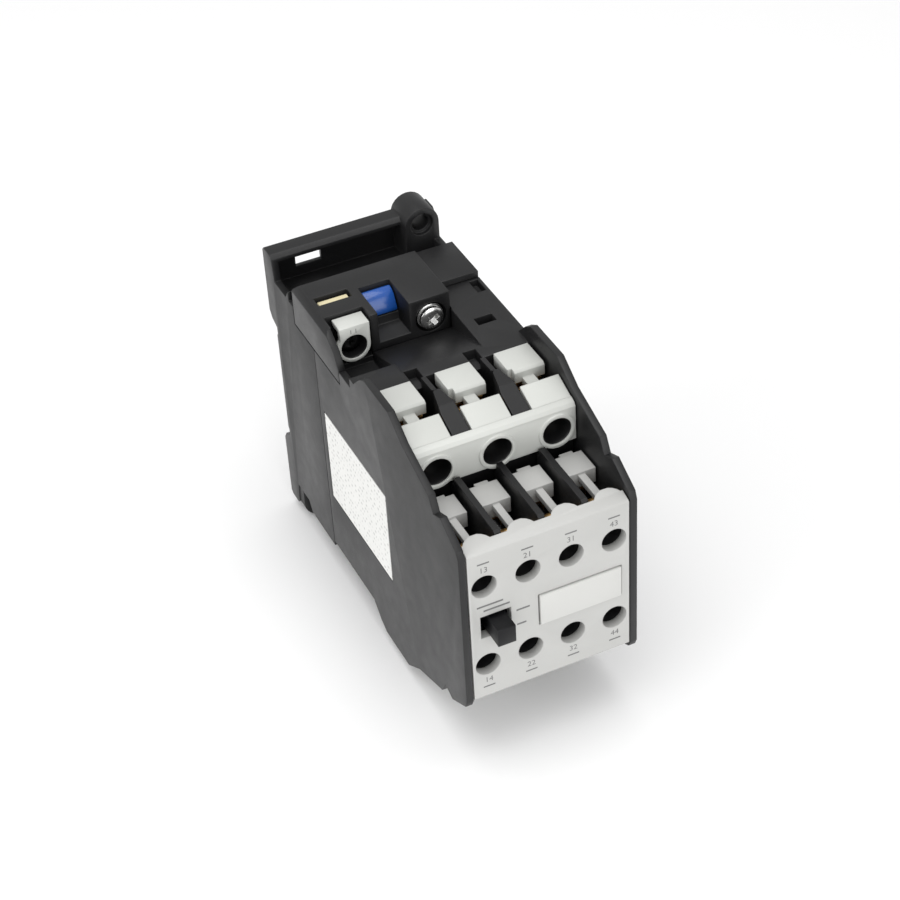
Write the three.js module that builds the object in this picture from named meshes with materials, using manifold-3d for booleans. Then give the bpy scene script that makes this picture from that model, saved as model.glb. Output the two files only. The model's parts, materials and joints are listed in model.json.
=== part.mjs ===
// Three-pole control contactor, 45 mm wide, with two make and two break auxiliary contacts.
// Millimetres. +X is right, +Z is up, and +Y runs from the front plate back to the rail.
// The origin is the middle of the rail seat, on the face that the 35 mm rail lies against.
// Depths are measured back from the front plate's face, and at() turns one into a Y value.

import * as THREE from 'three';
import { mergeVertices } from 'three/addons/utils/BufferGeometryUtils.js';
import Module from 'manifold-3d';

const wasm = await Module();
wasm.setup();

// ---------------------------------------------------------------- driving dimensions

// Overall.
const WIDTH = 45;
const AUX_TIER = 26.3;
const MAIN_TIER = 27.7;
const COIL_TIER = 26.7;
const BASE_TIER = 31.3;
const WALL = 1.8;
const COIL_WALL = 3;
const GAP = 0.3;

// Heights above the centre line: side walls, floors of the terminal chambers, shelf.
const AUX_FRONT_TOP = 23;
const AUX_WALL_TOP = 28.2;
const MAIN_TOP = 39.8;
const SHELF_TOP = 34.2;
const BASE_TOP = 35.8;
const PLATE_TOP = 40.2;
const AUX_FLOOR = 8.6;
const MAIN_FLOOR = 21.4;
const COIL_CAVITY_TOP = 24;

// Rail and screw fixing.
const RAIL_WIDTH = 35.3;
const RAIL_RECESS = 3.8;
const RAIL_FLARE = 3.2;
const RAIL_LIP = 1.6;
const RAIL_SEAT_HALF = 15;
const RAIL_RELIEF = 0.5;
const LUG_SPACING = 35;
const LUG_HEIGHT = 38.5;
const LUG_RADIUS = 4.7;
const LUG_LENGTH = 9;
const LUG_BORE = 2.3;
const LUG_SINK = 3.1;

// Back tray.
const TRAY_DEPTH = 19;
const TRAY_FLOOR = 29;
const TRAY_WALL_TOP = 33;
const TRAY_LIP = 6;
const TRAY_LIP_THICK = 2;
const TRAY_WEB = 1.2;
const TRAY_WINDOW = [7, 2.8];

// Front plate.
const PLATE_THICK = 2.5;
const PLATE_HALF_HEIGHT = 22;
const FLANGE_DEPTH = 4.9;
const FLANGE_RISE = 1.6;
const LOBE_RADIUS = 4;
const LOBE_ROOT = 3.1;
const AUX_ROW = 12;
const AUX_HOLE = 3.2;
const AUX_CHAMBER = 8.4;
const PARTITION = 1.6;
const PARTITION_TOP = 23.6;
const AUX_HEAD_HALF = 3.7;
const AUX_HEAD_DEPTH = [15.6, 22.8];
const AUX_HEAD_LEVEL = [16.5, 20.8];
const AUX_TAB = { half: 1.7, reach: 1, drop: 1.6 };
const AUX_STEM_HALF = 0.9;
const AUX_STEM_LEVEL = [18.6, 20.2];

// Inscription plate and indicator window, in the front plate's own X and Z.
const LABEL_CENTRE = [7.6, -1];
const LABEL_SIZE = [21, 8.8];
const LABEL_RECESS = 0.8;
const LABEL_THICK = 1;
const WINDOW_CENTRE = [-14, -0.2];
const WINDOW_SIZE = [7.8, 6.6];
const POST_CENTRE = [-13.5, -0.7];
const POST_SIZE = [4.6, 5];
const POST_REACH = 4.6;

// Main terminal covers.
const MAIN_CHAMBER = 10.6;
const COVER_BLOCK_HALF = 5;
const COVER_BAR = 2.1;
const COVER_FRONT_TOP = 32.4;
const COVER_BACK_TOP = 35.6;
const COVER_BLOCK_DEPTH = 8.5;
const COVER_STEP = 0.2;
const COVER_SHEET = 1;
const COVER_ROOF = 1.4;
const COVER_HOLE = 3.8;
const COVER_HOLE_LEVEL = 26.5;
const COVER_RING = 4.7;
const COVER_RING_THICK = 0.4;
const HEAD_SETBACK = 14.5;
const HEAD_DEPTH = 8.9;
const HEAD_HALF = 4.5;
const HEAD_LEVEL = [31.8, 35.2];
const STEM_HALF = 1.5;
const STEM_LEVEL = [31, 33];
const FIN_TOP = 36;
const FIN_HALF = 2.2;
const RIDGE = 1.2;
const NOTCH_WIDTH = 3.4;
const NOTCH_OFFSET = -0.9;

// Contacts and the carriage that works them.
const STROKE = 4.5;
const CONTACT_GAP = 0.05;
const POLE_GAP = 0.1;
const STRIP = 1.2;
const PAD = 0.7;
const CARRIER_HALF_HEIGHT = 3.2;
const CARRIER_CLEARANCE = 0.6;
const BLOCK_SIDE = 1.2;
const MAIN_STRIP_HALF = 4;
const MAIN_STRIP_DEPTH = 41;
const MAIN_STRIP_LEVEL = [7, 30.6];
const MAIN_BRIDGE_HALF = 10.4;
const MAIN_BRIDGE_WIDTH = 4.6;
const AUX_STRIP_HALF = 2.4;
const AUX_STRIP_DEPTH = 18;
const AUX_STRIP_LEVEL = [4.4, 16];
const AUX_BRIDGE_HALF = 6.4;
const AUX_BRIDGE_WIDTH = 4;
const ARC_SIDE = 0.4;
const ARC_ROOF = 3.4;
const ARC_CLEARANCE = 0.85;
const CARRIER_FRONT = 7;

// Terminal screws: head radius, head height, shank radius, shank length, depth of the head.
const MAIN_SCREW = { head: 3.5, rise: 2.6, shank: 2, length: 9, depth: 36.2 };
const AUX_SCREW = { head: 2.7, rise: 2.2, shank: 1.5, length: 10.6, depth: 9.2 };
const COIL_SCREW = { head: 3.5, rise: 2.4, shank: 1.75, length: 7, depth: 70.8 };
const SCREW_CLEARANCE = 0.35;

// Coil terminal block, on top of the coil, left of the shelf.
const BLOCK_WIDTH = 33;
const BLOCK_FRONT = 72;
const BLOCK_BACK = 93;
const BLOCK_LEVEL = [28, 39.4];
const CHEEK_REACH = 7;
const A1_CENTRE = 7;
const A1_WIDTH = 8.6;
const A1_STEP = 0.8;
const A1_CAP_DEPTH = 5;
const A1_HOLE = 3.4;
const A1_LEVEL = 32.5;
const A2_CENTRE = 27.8;
const A2_LEVEL = 33.4;
const PLUG_CENTRE = 18.1;
const PLUG_WIDTH = 7.6;
const PLUG_DEPTH = 5;
const PLUG_FLOOR = 5.2;
const SLOT_FLOOR = 2.7;
const MARKER_SIZE = [7.8, 2.1];
const MARKER_CENTRE = 7.1;
const MARKER_DEPTH = 83.2;
const POCKET_FLOOR = 26;
const LEFT_WALL_TOP = 31.5;

// Magnet and coil.
const MAGNET_SIDE_GAP = 3;
const STACK_HALF = 7;
const LEG = 6;
const CENTRE_LEG_HALF = 4.2;
const YOKE = 6.2;
const ARMATURE_LEG = 4.6;
const CORE_FROM_BACK = 8.5;
const BOBBIN_WALL = 1.2;
const BOBBIN_FIT = 0.5;
const FLANGE = 1.5;
const FLANGE_HALF_HEIGHT = 15;
const SHADING_SLOT = 1;
const SHADING_DEPTH = 2.8;
const SPRING_RADIUS = 2.6;
const SPRING_WIRE = 0.35;
const SPRING_LEVEL = 11.6;
const SPRING_TURNS = 5;

// Rail latch.
const LATCH_HALF = 7.6;
const LATCH_THICK = 2.8;
const LATCH_LENGTH = 22.6;
const LATCH_NOSE = 1.8;
const LATCH_WINDOW_HALF = 2.2;
const LATCH_WINDOW_TOP = 2.6;
const LATCH_ANCHOR = 1.5;
const LATCH_SPRING_RADIUS = 0.9;
const LATCH_SPRING_WIRE = 0.2;
const LATCH_SPRING_LENGTH = 5.4;
const LATCH_SPRING_TURNS = 5;

// Side label.
const SIDE_LABEL = { front: 41.3, back: 78, low: -16.5, high: 10.2, thick: 0.2 };

const ROUND = 24;

// ---------------------------------------------------------------- derived places

const DEPTH = AUX_TIER + MAIN_TIER + COIL_TIER + BASE_TIER;
const SEAM = AUX_TIER + MAIN_TIER + COIL_TIER;
const MAIN_BACK = AUX_TIER + MAIN_TIER;
const HALF = WIDTH / 2;
const INNER = HALF - WALL;
const CAVITY_HALF = HALF - COIL_WALL;
const MAIN_PITCH = (2 * INNER - MAIN_CHAMBER) / 2;
const AUX_PITCH = (2 * INNER - AUX_CHAMBER) / 3;
const POLES = [-MAIN_PITCH, 0, MAIN_PITCH];
const AUX_PLACES = [-1.5, -0.5, 0.5, 1.5].map((step) => step * AUX_PITCH);
const PARTITIONS = [-AUX_PITCH, 0, AUX_PITCH];
const COVER_FRONT = AUX_TIER - 0.8;
const COVER_BOTTOM = MAIN_FLOOR + 1;
const FAR = 80;

// The rear face of each kind of bridge at rest.
const mainRear = MAIN_STRIP_DEPTH - 2 * PAD - STROKE - CONTACT_GAP;
const auxMakeRear = AUX_STRIP_DEPTH - 2 * PAD - STROKE - CONTACT_GAP;
const auxBreakRear = AUX_STRIP_DEPTH + 2 * STRIP + 2 * PAD + CONTACT_GAP;
const MAIN_BLOCK_FRONT = auxBreakRear + STROKE + ARC_CLEARANCE;

const at = (depth) => depth - DEPTH + RAIL_RECESS;
const fromLeft = (distance) => distance - HALF;

// ---------------------------------------------------------------- solids

function toSolid(geometry) {
  const plain = geometry.index ? geometry.toNonIndexed() : geometry.clone();
  plain.deleteAttribute('normal');
  plain.deleteAttribute('uv');
  const merged = mergeVertices(plain, 1e-4);
  const vertProperties = new Float32Array(merged.attributes.position.array);
  const triVerts = new Uint32Array(merged.index.array);
  return new wasm.Manifold(new wasm.Mesh({ numProp: 3, vertProperties, triVerts }));
}

function toGeometry(solid) {
  const mesh = solid.getMesh();
  const geometry = new THREE.BufferGeometry();
  geometry.setAttribute('position', new THREE.BufferAttribute(new Float32Array(mesh.vertProperties), 3));
  geometry.setIndex(new THREE.BufferAttribute(new Uint32Array(mesh.triVerts), 1));
  geometry.computeVertexNormals();
  return geometry;
}

const join = (solids) => solids.reduce((sum, next) => sum.add(next));
const cut = (solid, tools) => tools.reduce((rest, tool) => rest.subtract(tool), solid);

// A box between two X values, two depths and two heights.
function box(x, depth, z) {
  const geometry = new THREE.BoxGeometry(x[1] - x[0], depth[1] - depth[0], z[1] - z[0]);
  geometry.translate((x[0] + x[1]) / 2, at((depth[0] + depth[1]) / 2), (z[0] + z[1]) / 2);
  return toSolid(geometry);
}

function shapeOf(points) {
  return new THREE.Shape(points.map(([a, b]) => new THREE.Vector2(a, b)));
}

// An outline of [depth, height] points, run across the width between two X values.
function across(points, x) {
  const geometry = new THREE.ExtrudeGeometry(shapeOf(points), { depth: x[1] - x[0], bevelEnabled: false });
  const turn = new THREE.Matrix4().makeBasis(
    new THREE.Vector3(0, 1, 0),
    new THREE.Vector3(0, 0, 1),
    new THREE.Vector3(1, 0, 0),
  );
  geometry.applyMatrix4(turn);
  geometry.translate(x[0], at(0), 0);
  return toSolid(geometry);
}

// An outline of [x, depth] points, run up between two heights.
function upward(points, z) {
  const geometry = new THREE.ExtrudeGeometry(shapeOf(points), { depth: z[1] - z[0], bevelEnabled: false });
  geometry.translate(0, at(0), z[0]);
  return toSolid(geometry);
}

// An outline of [x, height] points, run back between two depths.
function backward(points, depth) {
  const shape = Array.isArray(points) ? shapeOf(points) : points;
  const settings = { depth: depth[1] - depth[0], bevelEnabled: false, curveSegments: ROUND / 2 };
  const geometry = new THREE.ExtrudeGeometry(shape, settings);
  geometry.rotateX(Math.PI / 2);
  geometry.translate(0, at(depth[1]), 0);
  return toSolid(geometry);
}

// A cylinder along the depth.
function rod(x, z, radius, depth, sides = ROUND) {
  const geometry = new THREE.CylinderGeometry(radius, radius, depth[1] - depth[0], sides);
  geometry.translate(x, at((depth[0] + depth[1]) / 2), z);
  return toSolid(geometry);
}

// An upright cylinder.
function pillar(x, depth, radius, z, sides = ROUND) {
  const geometry = new THREE.CylinderGeometry(radius, radius, z[1] - z[0], sides);
  geometry.rotateX(Math.PI / 2);
  geometry.translate(x, at(depth), (z[0] + z[1]) / 2);
  return toSolid(geometry);
}

// The same outline above and below the centre line.
const mirrored = (points) => [...points, ...points.map(([a, b]) => [a, -b]).reverse()];
const span = (centre, half) => [centre - half, centre + half];

// Turns a piece made for the top row of terminals into the one for the bottom row.
const HALF_TURN = new THREE.Matrix4().makeRotationY(Math.PI);

function below(solid) {
  const geometry = toGeometry(solid);
  geometry.applyMatrix4(HALF_TURN);
  return toSolid(geometry);
}

// ---------------------------------------------------------------- materials and nodes

const finish = (color, roughness, metalness = 0) => () =>
  new THREE.MeshStandardMaterial({ color, roughness, metalness });

const blackPlastic = finish(0x3a3a3a, 0.6);
const whitePlastic = finish(0xe2e2dc, 0.5);
const greyPlastic = finish(0xcfcfca, 0.5);
const bluePlastic = finish(0x14509a, 0.35);
const creamPlastic = finish(0xe8dcb0, 0.5);
const brass = finish(0xb08a4a, 0.35, 1);
const silver = finish(0xc8c8c8, 0.3, 1);
const nickel = finish(0xbdbdbd, 0.3, 1);
const copper = finish(0xa85a32, 0.4, 1);
const steel = finish(0x77797c, 0.45, 1);
const paper = finish(0xf2f2ee, 0.7);

const contactor = new THREE.Group();

function addSolid(name, solid, material) {
  const mesh = new THREE.Mesh(toGeometry(solid), material());
  mesh.name = name;
  contactor.add(mesh);
  return mesh;
}

// ---------------------------------------------------------------- front housing

// The top edge of the side walls, from the front plate back to the coil housing.
const WALL_EDGE = [
  [0, AUX_FRONT_TOP - 1],
  [0.9, AUX_FRONT_TOP + 1],
  [8.5, AUX_WALL_TOP],
  [12.3, AUX_WALL_TOP - 1.6],
  [14.4, AUX_WALL_TOP + 2.2],
  [AUX_TIER + 1.7, 35.2],
  [AUX_TIER + 8.7, MAIN_TOP],
  [MAIN_BACK - 5.5, MAIN_TOP],
  [MAIN_BACK - 2.5, MAIN_TOP - 1.8],
  [MAIN_BACK + 1.5, SHELF_TOP],
  [SEAM, SHELF_TOP],
];

const ABOVE = (floor) => [floor, FAR];
const blockHalf = INNER - GAP;
const channelHalf = blockHalf - BLOCK_SIDE;
const carrierHalf = channelHalf - CARRIER_CLEARANCE;

// The block under the auxiliary terminals, with a partition between each two.
function auxContactBlock() {
  const front = PLATE_THICK + 3 * GAP;
  const back = COVER_FRONT - COVER_RING_THICK - GAP;
  const step = COVER_HOLE_LEVEL - COVER_RING - GAP;
  const partition = [
    [front, 0],
    [front, PARTITION_TOP - 0.6],
    [front + 0.6, PARTITION_TOP],
    [back, PARTITION_TOP],
    [back, step],
    [AUX_TIER - GAP, step],
    [AUX_TIER - GAP, 0],
  ];
  const body = box(span(0, blockHalf), [PLATE_THICK + GAP, AUX_TIER - GAP], span(0, AUX_FLOOR));
  const upper = join(PARTITIONS.map((x) => across(partition, span(x, PARTITION / 2))));
  const hollows = AUX_PLACES.map((x) => contactHollow(x, AUX_CONTACT));
  return cut(join([body, upper, below(upper)]), [...hollows, carrierChannel()]);
}

// A wall between two main terminals: thick between the covers, and a thin ridge behind them.
function fin(x) {
  const front = AUX_TIER + 1.6;
  const back = MAIN_BACK - 4 - GAP;
  const plan = [
    [x - FIN_HALF, front],
    [x + FIN_HALF, front],
    [x + FIN_HALF, AUX_TIER + 10.2],
    [x + RIDGE, AUX_TIER + 15.5],
    [x + RIDGE, back],
    [x, back],
    [x, AUX_TIER + 16],
    [x - 0.6, AUX_TIER + 15],
    [x - FIN_HALF, AUX_TIER + 7.7],
  ];
  const profile = [
    [front - 1, 0],
    [front - 1, FIN_TOP - 3.1],
    [AUX_TIER + 9.7, FIN_TOP],
    [AUX_TIER + 15.5, FIN_TOP],
    [AUX_TIER + 17.5, SHELF_TOP + 0.6],
    [back + 1, SHELF_TOP + 0.2],
    [back + 1, 0],
  ];
  return upward(plan, [0, FIN_TOP + 1]).intersect(across(profile, span(x, MAIN_PITCH)));
}

// The block under the main terminals, which holds the arc chambers.
function mainContactBlock() {
  const body = box(span(0, blockHalf), [MAIN_BLOCK_FRONT, MAIN_BACK - 4 - GAP], span(0, MAIN_FLOOR));
  const upper = join([-MAIN_PITCH / 2, MAIN_PITCH / 2].map(fin));
  const hollows = POLES.map((x) => contactHollow(x, MAIN_CONTACT));
  return cut(join([body, upper, below(upper)]), [...hollows, carrierChannel()]);
}

function carrierChannel() {
  return box(
    span(0, channelHalf),
    [0, MAIN_BACK + 1],
    span(0, CARRIER_HALF_HEIGHT + CARRIER_CLEARANCE),
  );
}

// Slots and hollows around the fixed strips and moving bridges of one contact.
function contactHollow(x, part) {
  const arc = box(span(x, part.half + ARC_SIDE), part.arc, [-part.roof, part.roof]);
  const slot = box(
    span(x, part.half + GAP),
    [part.strip - PAD - GAP, part.strip + STRIP + PAD + GAP],
    [-part.floor - 1, part.floor + 1],
  );
  return arc.add(slot);
}

const MAIN_CONTACT = {
  half: MAIN_STRIP_HALF,
  strip: MAIN_STRIP_DEPTH,
  floor: MAIN_FLOOR,
  roof: MAIN_FLOOR - ARC_ROOF,
  arc: [mainRear - STRIP - 3 * ARC_CLEARANCE, MAIN_BACK - 5],
};

const AUX_CONTACT = {
  half: AUX_STRIP_HALF,
  strip: AUX_STRIP_DEPTH,
  floor: AUX_FLOOR,
  roof: AUX_FLOOR - 1.6,
  arc: [auxMakeRear - STRIP - GAP, AUX_TIER],
};

// The shelf behind the main terminals: its slots, the ramp to the coil screw and the A1 pocket.
function shelfCuts() {
  const right = fromLeft(BLOCK_WIDTH);
  const pocketRight = fromLeft(A1_CENTRE + A1_WIDTH / 2 + 0.6);
  const front = MAIN_BACK - 4;
  const ramp = [
    [MAIN_BACK, SHELF_TOP],
    [BLOCK_FRONT - GAP, BLOCK_LEVEL[0] + 0.8],
    [BLOCK_FRONT, BLOCK_LEVEL[0] + 0.8],
    [BLOCK_FRONT, FAR],
    [MAIN_BACK, FAR],
  ];
  const notches = [-MAIN_PITCH / 2, MAIN_PITCH / 2].map((x) => box(
    span(x + NOTCH_OFFSET, NOTCH_WIDTH / 2),
    [front - 1, MAIN_BACK + 0.2],
    ABOVE(SHELF_TOP - 3),
  ));
  return join([
    box([-INNER, INNER], [front - 1, SEAM + 1], ABOVE(SHELF_TOP)),
    across(ramp, [pocketRight, right]),
    box([-FAR, right + GAP], [BLOCK_FRONT - GAP, DEPTH], ABOVE(BLOCK_LEVEL[0] - GAP)),
    box([-FAR, -INNER], [BLOCK_FRONT - CHEEK_REACH - GAP, BLOCK_FRONT], ABOVE(BLOCK_LEVEL[0] - GAP)),
    box([-FAR, pocketRight], [MAIN_BACK + 4, BLOCK_FRONT], ABOVE(LEFT_WALL_TOP)),
    box([-INNER, pocketRight], [MAIN_BACK + 4, BLOCK_FRONT], ABOVE(POCKET_FLOOR)),
    box([INNER - 7.2, INNER - 2.4], span(MAIN_BACK + 9.7, 1.5), ABOVE(SHELF_TOP - 3)),
    box([INNER - 1.4, INNER + 0.9], [SEAM - 6, SEAM - 0.8], ABOVE(SHELF_TOP - 2)),
    ...notches,
  ]);
}

// Two side walls that stand on the shell round the armature.
function contactHousing() {
  const outer = across(mirrored(WALL_EDGE), [-HALF, HALF]);
  const blocks = box([-INNER, INNER], [-1, MAIN_BACK - 4], span(0, FAR));
  const cavity = box(span(0, CAVITY_HALF), [MAIN_BACK, DEPTH], span(0, COIL_CAVITY_TOP));
  const labelBed = box(
    [-HALF - 1, -HALF + SIDE_LABEL.thick + GAP],
    [SIDE_LABEL.front - GAP, SIDE_LABEL.back + GAP],
    [SIDE_LABEL.low - GAP, SIDE_LABEL.high + GAP],
  );
  return cut(outer, [blocks, carrierChannel(), cavity, labelBed, shelfCuts()]);
}

// ---------------------------------------------------------------- base housing

function lug(x, z) {
  const boss = rod(x, z, LUG_RADIUS, [DEPTH - LUG_LENGTH, DEPTH]);
  const root = box(
    span(x, LUG_RADIUS),
    [DEPTH - LUG_LENGTH, DEPTH],
    z > 0 ? [TRAY_FLOOR - 1, z] : [z, -TRAY_FLOOR + 1],
  );
  return boss.add(root);
}

function lugBore(x, z) {
  const bore = rod(x, z, LUG_BORE, [DEPTH - LUG_LENGTH - 1, DEPTH + 1]);
  return bore.add(rod(x, z, LUG_SINK, [DEPTH - LUG_LENGTH - 1, DEPTH - LUG_LENGTH + 1.2]));
}

// The side outline of the base: coil housing, tray wall and back plate.
function baseOutline() {
  return [
    [SEAM + GAP, BASE_TOP],
    [DEPTH - TRAY_DEPTH + 3, BASE_TOP],
    [DEPTH - TRAY_DEPTH + 5, TRAY_WALL_TOP],
    [DEPTH - TRAY_LIP - 0.6, TRAY_WALL_TOP],
    [DEPTH - TRAY_LIP, PLATE_TOP - 2.6],
    [DEPTH - TRAY_LIP, PLATE_TOP - 1],
    [DEPTH - TRAY_LIP + 1, PLATE_TOP],
    [DEPTH - 1, PLATE_TOP],
    [DEPTH, PLATE_TOP - 1],
  ];
}

// The channel for the rail, with a shallow relief under the hook and under the latch's nose.
function railRecess() {
  const half = RAIL_WIDTH / 2;
  const floor = DEPTH - RAIL_RECESS;
  const mouth = half + RAIL_FLARE;
  const outline = [
    [floor, RAIL_SEAT_HALF],
    [floor - RAIL_RELIEF, RAIL_SEAT_HALF + RAIL_RELIEF],
    [floor - RAIL_RELIEF, half],
    [DEPTH - 1.4, half + 1.2],
    [DEPTH, mouth],
    [DEPTH + 1, mouth],
  ];
  return across(mirrored(outline), [-FAR, FAR]);
}

function baseHousing() {
  const lugX = LUG_SPACING / 2;
  const inside = [-INNER, INNER];
  const outer = across(mirrored(baseOutline()), [-HALF, HALF]);
  const tray = join([
    box(inside, [DEPTH - TRAY_DEPTH + 3, DEPTH - TRAY_WEB], [TRAY_FLOOR, PLATE_TOP - TRAY_LIP_THICK]),
    box(inside, [DEPTH - TRAY_DEPTH + 3, DEPTH - TRAY_LIP], ABOVE(TRAY_FLOOR)),
  ]);
  const blockSeat = box(
    [-FAR, fromLeft(BLOCK_WIDTH) + GAP],
    [0, BLOCK_BACK + GAP],
    ABOVE(BLOCK_LEVEL[0] - GAP),
  );
  const behindBlock = box(
    [-FAR, fromLeft(BLOCK_WIDTH) + GAP],
    [0, DEPTH - TRAY_DEPTH + 3.1],
    ABOVE(TRAY_WALL_TOP),
  );
  const windowX = fromLeft(8 + TRAY_WINDOW[0] / 2);
  const window = box(
    span(windowX, TRAY_WINDOW[0] / 2),
    [DEPTH - 3, DEPTH + 1],
    span(33.3, TRAY_WINDOW[1] / 2),
  );
  const cavity = box(span(0, CAVITY_HALF), [0, DEPTH - CORE_FROM_BACK + GAP], span(0, COIL_CAVITY_TOP));
  const latchTop = -RAIL_WIDTH / 2;
  const latchBed = box(
    span(0, LATCH_HALF + GAP),
    [DEPTH - RAIL_RECESS, DEPTH + 1],
    [-FAR, latchTop + 1],
  );
  const hookHalf = RAIL_WIDTH / 2;
  const hook = across(
    [
      [DEPTH - 0.4, hookHalf + RAIL_FLARE + 0.5],
      [DEPTH - 0.4, hookHalf],
      [DEPTH - 1, hookHalf - RAIL_LIP],
      [DEPTH - 2.2, hookHalf - RAIL_LIP],
      [DEPTH - 2.2, hookHalf + 1],
      [DEPTH - 3, hookHalf + RAIL_FLARE + 0.5],
    ],
    span(0, LATCH_HALF),
  );
  const anchorLevel = latchTop - LATCH_WINDOW_TOP - LATCH_SPRING_LENGTH - 2 * GAP;
  const anchor = box(
    span(0, LATCH_WINDOW_HALF - 2 * GAP),
    [DEPTH - RAIL_RECESS - 1, DEPTH - RAIL_RECESS + LATCH_THICK],
    [anchorLevel - LATCH_ANCHOR, anchorLevel],
  );
  const shell = cut(outer, [tray, below(tray), blockSeat, behindBlock, window, railRecess(), latchBed]);
  const lugs = [lug(lugX, LUG_HEIGHT), lug(-lugX, -LUG_HEIGHT)];
  const bores = [lugBore(lugX, LUG_HEIGHT), lugBore(-lugX, -LUG_HEIGHT)];
  return cut(join([shell, ...lugs, hook, anchor]), [...bores, cavity]);
}

// ---------------------------------------------------------------- rail latch

function railLatch() {
  const top = -RAIL_WIDTH / 2;
  const front = DEPTH - RAIL_RECESS + GAP;
  const back = front + LATCH_THICK;
  const outline = [
    [front, top - 0.4],
    [front + 1.4, top - 0.4],
    [front + 1.4, top + LATCH_NOSE],
    [back - 0.6, top + LATCH_NOSE],
    [back, top],
    [back, top - LATCH_LENGTH],
    [front, top - LATCH_LENGTH],
  ];
  const windowTop = top - LATCH_WINDOW_TOP;
  const windowLow = windowTop - LATCH_SPRING_LENGTH - LATCH_ANCHOR - 3 * GAP;
  const window = box(span(0, LATCH_WINDOW_HALF), [front - 1, back + 1], [windowLow, windowTop]);
  const pull = box(span(0, 2.5), [front - 1, back + 1], [top - LATCH_LENGTH + 2, top - LATCH_LENGTH + 4]);
  return cut(across(outline, span(0, LATCH_HALF)), [window, pull]);
}

// A round-wire helix along Z from the origin.
function helix(radius, wire, length, turns) {
  class Coil extends THREE.Curve {
    getPoint(t, target = new THREE.Vector3()) {
      const angle = 2 * Math.PI * turns * t;
      return target.set(radius * Math.cos(angle), radius * Math.sin(angle), wire + (length - 2 * wire) * t);
    }
  }
  const section = new THREE.Shape();
  const sides = 6;
  for (let i = 0; i < sides; i += 1) {
    const angle = (2 * Math.PI * i) / sides;
    section[i ? 'lineTo' : 'moveTo'](wire * Math.cos(angle), wire * Math.sin(angle));
  }
  const settings = { steps: 12 * turns, extrudePath: new Coil(), bevelEnabled: false };
  return new THREE.ExtrudeGeometry(section, settings);
}

// ---------------------------------------------------------------- front plate and its guards

function frontPlate() {
  const half = INNER - GAP;
  const slab = box([-half, half], [0, PLATE_THICK], span(0, PLATE_HALF_HEIGHT - 0.6));
  const flangeOutline = [
    [0, PLATE_HALF_HEIGHT - 1.4],
    [0, PLATE_HALF_HEIGHT - 0.2],
    [0.3, PLATE_HALF_HEIGHT + 0.2],
    [FLANGE_DEPTH, PLATE_HALF_HEIGHT + FLANGE_RISE],
    [FLANGE_DEPTH, PLATE_HALF_HEIGHT + FLANGE_RISE - 1.5],
    [PLATE_THICK, PLATE_HALF_HEIGHT - 1.4],
  ];
  const lobes = AUX_PLACES.map((x) =>
    pillar(x, FLANGE_DEPTH + 0.1 - LOBE_RADIUS, LOBE_RADIUS, [PLATE_HALF_HEIGHT - 2, FAR]));
  const root = box([-FAR, FAR], [-1, LOBE_ROOT], [0, FAR]);
  const flange = across(flangeOutline, [-half, half]).intersect(join([root, ...lobes]));
  const guards = AUX_PLACES.map((x) => {
    const head = box(span(x, AUX_HEAD_HALF), AUX_HEAD_DEPTH, AUX_HEAD_LEVEL);
    const stem = box(span(x, AUX_STEM_HALF), [PLATE_THICK - 1, AUX_HEAD_DEPTH[0] + 1], AUX_STEM_LEVEL);
    const tab = box(
      span(x, AUX_TAB.half),
      [AUX_HEAD_DEPTH[1] - 1, AUX_HEAD_DEPTH[1] + AUX_TAB.reach],
      [AUX_HEAD_LEVEL[1] - AUX_TAB.drop, AUX_HEAD_LEVEL[1] - 0.1],
    );
    return join([head, stem, tab]);
  });
  const upper = join([flange, ...guards]);
  const holes = AUX_PLACES.flatMap((x) =>
    [-AUX_ROW, AUX_ROW].map((z) => rod(x, z, AUX_HOLE, [-1, PLATE_THICK + 1])));
  const recess = box(
    span(LABEL_CENTRE[0], LABEL_SIZE[0] / 2 + GAP),
    [-1, LABEL_RECESS],
    span(LABEL_CENTRE[1], LABEL_SIZE[1] / 2 + GAP),
  );
  const window = box(
    span(WINDOW_CENTRE[0], WINDOW_SIZE[0] / 2),
    [-1, PLATE_THICK + 1],
    span(WINDOW_CENTRE[1], WINDOW_SIZE[1] / 2),
  );
  return cut(join([slab, upper, below(upper)]), [...holes, recess, window]);
}

function inscriptionPlate() {
  return box(
    span(LABEL_CENTRE[0], LABEL_SIZE[0] / 2),
    [LABEL_RECESS - GAP - LABEL_THICK, LABEL_RECESS - GAP],
    span(LABEL_CENTRE[1], LABEL_SIZE[1] / 2),
  );
}

// ---------------------------------------------------------------- main terminal cover

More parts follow.
